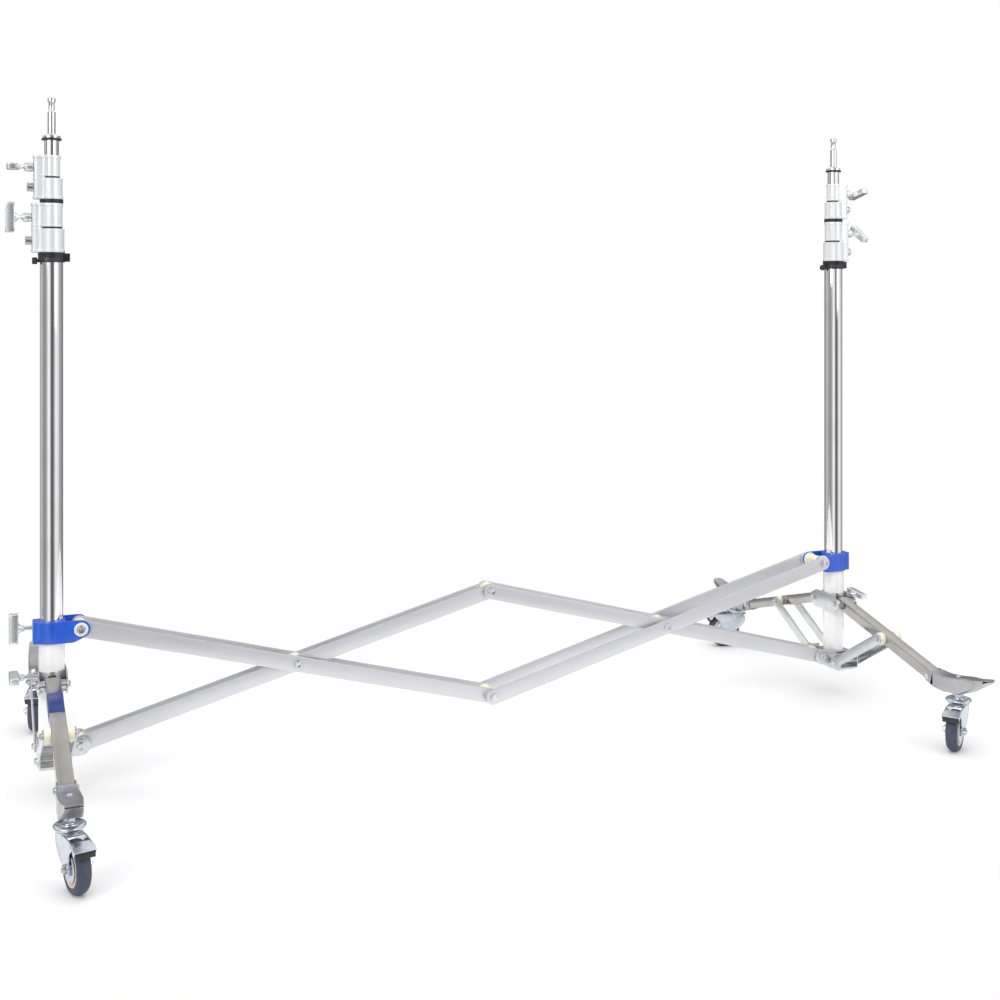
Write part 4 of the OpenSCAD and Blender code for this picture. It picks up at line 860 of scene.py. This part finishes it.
FORK = rounded([(-19, RACE_Z), (-24, 84.5), (-22, 72), (-8, 55), (23, 40), (27, 33.5), (36, 31.6),
                (45, 35), (49, 44), (47, 52), (45, 64), (49, 74), (60, 81), (65, 88.5), (62, 93),
                (44, RACE_Z)], [3, 9, 9, 12, 4, 5, 6, 6, 5, 6, 9, 8, 6, 3, 3, 3], 6)
TYRE = mirrored([(32.9, -12), (38, -12.6), (40.4, -12), (42.2, -10.6), (43.9, -8), (44.7, -5),
                 (45, 0)])
WEB = mirrored([(4.1, -12), (8, -12), (26, -9.6), (28, -11.6), (31.6, -12), (32.8, -11.2)])
for name, _, place, _ in CORNERS:
    key = f"{name}_{place}"
    leg, fork, wheel, pedal = (f"{key}_{k}" for k in ("leg", "fork", "wheel", "pedal"))

    def at(*shapes):
        return [at_castor(shape, name, place) for shape in shapes]

    disc = turned([(10, PLATE_Z + 0.2), (20, PLATE_Z), (25, PLATE_Z), (27.6, PLATE_Z + 1),
                   (28.5, PLATE_Z + 3), (28, PLATE_Z + 5.2), (26, PLATE_Z + 7),
                   (23.6, PLATE_Z + 8), (21.4, PLATE_Z + 7.2), (20, PLATE_Z + 5.6),
                   (18.4, PLATE_Z + 4.8), (14.6, PLATE_Z + 4.8), (13.4, PLATE_Z + 5.6),
                   (12.6, PLATE_Z + 7.6), (6, STEM_Z)], steps=72)
    pin_low = turned([(7, 88.8), (8, 89.4), (8, 92.1), (5, 92.2), (5, 101)], steps=32)
    lock = head(11.5, 10.9, (0, 0, STEM_Z), 2, 1, washer=1.5)
    stem = turned([(6, 117), (6, 134.4), (5.2, 135.2), (2, 135.4)], steps=32)
    nut = head(11, 8, (0, 0, TOE_Z + 2.05), 2, 1, washer=0.8)
    piece(key + "_swivel_plate", leg, blue_zinc,
          at(disc, pin_low, lock, stem, nut))

    race = turned([(19, 95.2), (22.6, 95.3), (23.4, 96), (23.4, 97), (22.2, 98.2),
                   (20.4, 99.2), (17, 99.6), (5.2, 99.6), (5.2, 95.2)], steps=64, wrap=True)
    crown = plate(rounded([(-27, -18), (27, -18), (27, 18), (-27, 18)], 9), 92.5, 95.5, 0.9,
                  axis=2)
    cheeks = [plate(FORK, y, y + FORK_T, 0.8) for y in (-FORK_IN - FORK_T, FORK_IN)]
    piece(fork + "_pressing", fork, blue_zinc, at(race, crown, *cheeks), [fork])
    axle = [turned([(4, -19), (4, 19)], (TRAIL, 0, AXLE_Z), 1, 32)]
    axle += [head(8.4, 6.6, (TRAIL, w * 18.05, AXLE_Z), 1, w) for w in (-1, 1)]
    axle += [turned([(4, w * 24), (4, w * 26.4), (3.2, w * 27.2)], (TRAIL, 0, AXLE_Z), 1, 24)
             for w in (-1, 1)]
    piece(fork + "_axle", fork, plated, at(*axle))

    hub = (TRAIL, 0, AXLE_Z)
    piece(wheel + "_tyre", wheel, rubber, at(turned(TYRE, hub, 1, 96, True)), [wheel])
    piece(wheel + "_core", wheel, core, at(turned(WEB, hub, 1, 72, True)))
    covers = []
    for w in (-1, 1):
        dish = np.array([(4.1, 12.2), (9.6, 12.2), (10, 13.4), (11, 15.2), (9, 15.4),
                         (4.1, 15.4)]) * [1, w]
        cap = np.array([(10, 12.2), (24.6, 12.1), (25, 12.6), (24, 13.4), (20.5, 13.9),
                        (16, 13.2), (10.4, 13.8)]) * [1, w]
        covers += [turned(dish, hub, 1, 48, True), turned(cap, hub, 1, 72, True)]
    piece(wheel + "_covers", wheel, blue_zinc, at(*covers))

    hood = rounded([(-5, -0.4), (0, -3.2), (8, -3.8), (10, -1.6), (22.6, -5.6), (24.4, -4.4),
                    (23.6, -2.4), (10, 2.2), (0, 4.5), (-5, 4)], 1.2)
    hood = plate(hood + [PEDAL_X, PEDAL_Z], -15.2, 15.2, 0.8)
    flap = rounded([(8, 0.6), (8.6, -1), (23.2, -5.2), (24.6, -4.2), (24, -2.8),
                    (9.2, 2.6)], 0.8)
    flap = plate(flap + [PEDAL_X, PEDAL_Z], -19, 19, 0.9)
    lip = [plate(rounded([(10, -1), (22.6, -5), (20, -12), (13, -9.4), (10.4, -4)], 1.6)
                 + [PEDAL_X, PEDAL_Z], y, y + 1.4, 0.5) for y in (-19, 17.6)]
    rod = turned([(2.5, -19), (2.5, 19)], (PEDAL_X, 0, PEDAL_Z), 1, 24)
    piece(pedal + "_hood", pedal, blue_zinc, at(hood, flap, *lip, rod), [pedal])
    pad = rounded([(10.6, -6), (12, -10.4), (15, -12.9), (19.5, -17.2), (24.1, -16.1),
                   (22.7, -5.6), (10.6, -2)], 1.4)
    pad = plate(pad + [PEDAL_X, PEDAL_Z], -17.2, 17.2, 1.2)
    piece(pedal + "_pad", pedal, black, at(pad))

# Scissor
# Four pairs of flat bars, 33 x 5 mm satin anodised aluminium with round ends, cross between
# the units. They turn on 10 mm bolts over cream nylon discs that keep the pairs apart.

BAR_W, BAR_T, INNER_Y, MIDDLE_Y, OUTER_Y = 33.0, 5.0, 11.5, 20.1, 33.0
HALF_SPAN = SPAN / 2 - PIVOT_X
BAR_LONG = math.hypot(HALF_SPAN, HIGH_Z - LOW_Z)
BAR_RISE = math.atan2(HIGH_Z - LOW_Z, HALF_SPAN)
MID_X, MID_Z = HALF_SPAN / 2, (LOW_Z + HIGH_Z) / 2

anodised = Finish("satin_aluminium", Metallic=1.0)
drawn = anodised.noise(1, 2, stretch=(5, 1100, 1), along="UV")
patch = anodised.noise(7, 3).step(0.3, 0.75)
anodised.set(Base_Color=(drawn * 0.4 + patch * 0.35).paint((0.765, 0.765, 0.795),
                                                           (0.67, 0.67, 0.7)),
             Roughness=drawn * 0.1 + patch * 0.08 + 0.4)
anodised.bump(drawn, 0.00003, 0.2)


def bars(plane, x, z, way, rise):
    """The two bars of a pair, mirrored about the middle plane, from (x, z) on."""
    outline = slot_outline(BAR_LONG, BAR_W, 21)
    pair = [laid(plate(outline, y, y + BAR_T, 0.6), rise * BAR_RISE, (0, 0))
            for y in (-plane - BAR_T, plane)]
    return [(r * [way, 1, 1] + [x, 0, z], *rest) for r, *rest in pair]


def nylon_disc(x, z, low, high, r):
    """Turned discs on both sides of the middle plane, from low to high across the bars."""
    return [tube(*sorted((w * low, w * high)), r, 5.05, 1.0, at=(x, 0, z), axis=1)
            for w in (-1, 1)]


def nylon_tube(x, z, half, r=17.0):
    """Nylon between the two bars of a pair: full at both ends and waisted between them."""
    profile = [(5.05, -half), (r - 0.8, -half), (r, 0.8 - half), (r, 4 - half), (r - 3, 6 - half)]
    return [turned(mirrored(profile), (x, 0, z), 1, 64, True)]


def through_bolt(x, z, half):
    """Bolt across the bars at (x, z), with half its length on each side."""
    return bolt(half, (x, 0, z), 1, 5.0, 9.0, 6.4)


SCISSOR = {
    "left_rising_bars": (
        bars(INNER_Y, -HALF_SPAN, LOW_Z, 1, 1),
        nylon_tube(-HALF_SPAN, LOW_Z, 11.45) + nylon_tube(-MID_X, MID_Z, 11.45)
        + nylon_tube(0, HIGH_Z, 11.45) + nylon_disc(-HALF_SPAN, LOW_Z, 16.55, 25.2, 11),
        through_bolt(-HALF_SPAN, LOW_Z, 30.8)),
    "left_falling_bars": (
        bars(MIDDLE_Y, -HALF_SPAN, HIGH_Z, 1, -1),
        nylon_tube(-HALF_SPAN, HIGH_Z, 20.05, 13.5) + nylon_tube(0, LOW_Z, 20.05)
        + nylon_disc(-MID_X, MID_Z, 16.8, 20.05, 12),
        through_bolt(-HALF_SPAN, HIGH_Z, 33) + through_bolt(-MID_X, MID_Z, 25.1)),
    "right_falling_bars": (
        bars(MIDDLE_Y, HALF_SPAN, LOW_Z, -1, 1),
        nylon_tube(HALF_SPAN, LOW_Z, 20.05) + nylon_tube(MID_X, MID_Z, 20.05)
        + nylon_disc(0, HIGH_Z, 16.8, 20.05, 12),
        through_bolt(HALF_SPAN, LOW_Z, 30.8) + through_bolt(0, HIGH_Z, 25.1)),
    "right_rising_bars": (
        bars(OUTER_Y, HALF_SPAN, HIGH_Z, -1, -1),
        nylon_tube(HALF_SPAN, HIGH_Z, 25.2)
        + nylon_disc(MID_X, MID_Z, 25.4, 32.95, 12) + nylon_disc(0, LOW_Z, 25.4, 32.95, 12),
        through_bolt(HALF_SPAN, HIGH_Z, 38) + through_bolt(MID_X, MID_Z, 38)
        + through_bolt(0, LOW_Z, 38)),
}
for node, (flats, discs, bolts) in SCISSOR.items():
    piece(node + "_flats", node, anodised, flats, [node])
    piece(node + "_discs", node, nylon, discs)
    piece(node + "_bolts", node, plated, bolts)
for side, node, end, r in (("left", "left_falling_bars", 33, 14),
                           ("right", "right_rising_bars", 32.95, 18.5)):
    piece(side + "_ear_washers", node, white_nylon,
          nylon_disc(SIDES[side] * HALF_SPAN, HIGH_Z, 30.8, end, r))

# Studio
# A pale floor, a white surround and soft lights, with a few grey bands in the surround so
# that polished tubes have something to reflect. The camera stands where the photograph's did.

floor_mesh = bpy.data.meshes.new("floor")
rim = np.concatenate([circle(1) * [1.55, 1.05], np.zeros((96, 1))], -1)
floor_mesh.from_pydata(rim, [], [list(range(96))])
floor = bpy.data.objects.new("floor", floor_mesh)
bpy.context.scene.collection.objects.link(floor)
pale = Finish("pale_floor")
pale.set(Base_Color=pale.noise(0.4, 2).paint((0.93, 0.93, 0.935), (0.95, 0.95, 0.955)),
         Roughness=0.9)
floor_mesh.materials.append(pale.material)

CAMERA_TURN = 0.385
camera_data = bpy.data.cameras.new("camera")
camera_data.sensor_width, camera_data.lens = 36.0, 48.48
camera_data.shift_y = -0.206
camera_data.clip_end = 200.0
camera = bpy.data.objects.new("camera", camera_data)
camera.location = (-1.1374, -2.8827, 1.0146)
camera.rotation_euler = (math.pi / 2, 0, -CAMERA_TURN)
bpy.context.scene.collection.objects.link(camera)
bpy.context.scene.camera = camera


def soft_light(name, place, aim, size, watts):
    """Square area light that points from its place at an aim point."""
    data = bpy.data.lights.new(name, "AREA")
    data.size, data.energy = size, watts
    lamp = bpy.data.objects.new(name, data)
    way = np.subtract(aim, place)
    lamp.location = place
    lamp.rotation_euler = (math.atan2(math.hypot(way[0], way[1]), -way[2]), 0,
                           math.atan2(-way[0], way[1]))
    bpy.context.scene.collection.objects.link(lamp)


soft_light("key", (-4.2, -2.8, 2.8), (-0.3, 0, 0.5), 2.2, 60)
soft_light("fill", (2.4, -3.8, 2.4), (0.3, 0, 0.5), 2.4, 22)
soft_light("top", (0, 0.6, 4.2), (0, 0, 0), 3.5, 20)

world = bpy.data.worlds.new("studio")
bpy.context.scene.world = world
world.use_nodes = True


class Surround(Finish):
    """The world's own tree, with the same method for its nodes."""

    def __init__(self, world):
        self.tree = world.node_tree
        self.shader = self.tree.nodes["Background"]


surround = Surround(world)
way = surround.node("TexCoord", {}, {}, out="Generated")
way = surround.node("Mapping", {}, {"Vector": way, "Rotation": (0, 0, CAMERA_TURN)})
split = surround.node("SeparateXYZ", {}, {"Vector": way})
side_way, back_way, up = (Term(surround, way) for way in split.socket.node.outputs)
around = side_way.math("ARCTAN2", side_way, back_way * -1) * (1 / (2 * math.pi)) + 0.5
ramp = surround.node("ValToRGB", {}, {"Fac": around})
BANDS = [(-180, 0.2), (-150, 0.22), (-120, 0.5), (-100, 0.6), (-75, 0.4), (-50, 0.28),
         (-30, 0.5), (-12, 1.05), (-2, 1.05), (8, 0.5), (16, 0.13), (34, 0.13), (46, 0.5),
         (60, 1.0), (84, 0.9), (104, 0.45), (130, 0.35), (156, 0.2), (180, 0.2)]
stops = ramp.socket.node.color_ramp.elements
for _ in BANDS[2:]:
    stops.new(0.5)
for stop, (degrees, _) in zip(stops, BANDS):
    stop.position = degrees / 360 + 0.5
for stop, (_, value) in zip(stops, BANDS):
    stop.color = (value, value, value * 1.01, 1)
high = up.step(0.25, 0.7)
tinted = high.paint(ramp, (1.25, 1.25, 1.25))
glossy = surround.node("LightPath", {}, {}, out="Is Glossy Ray")
tinted = (up.step(0.66, 0.9) * glossy).paint(tinted, (0.3, 0.3, 0.31))
direct = surround.node("LightPath", {}, {}, out="Is Camera Ray")
shown = direct.paint(tinted, (1, 1, 1))
surround.feed(surround.shader, {"Color": shown, "Strength": 1.0})
bpy.context.scene.view_settings.view_transform = "Standard"
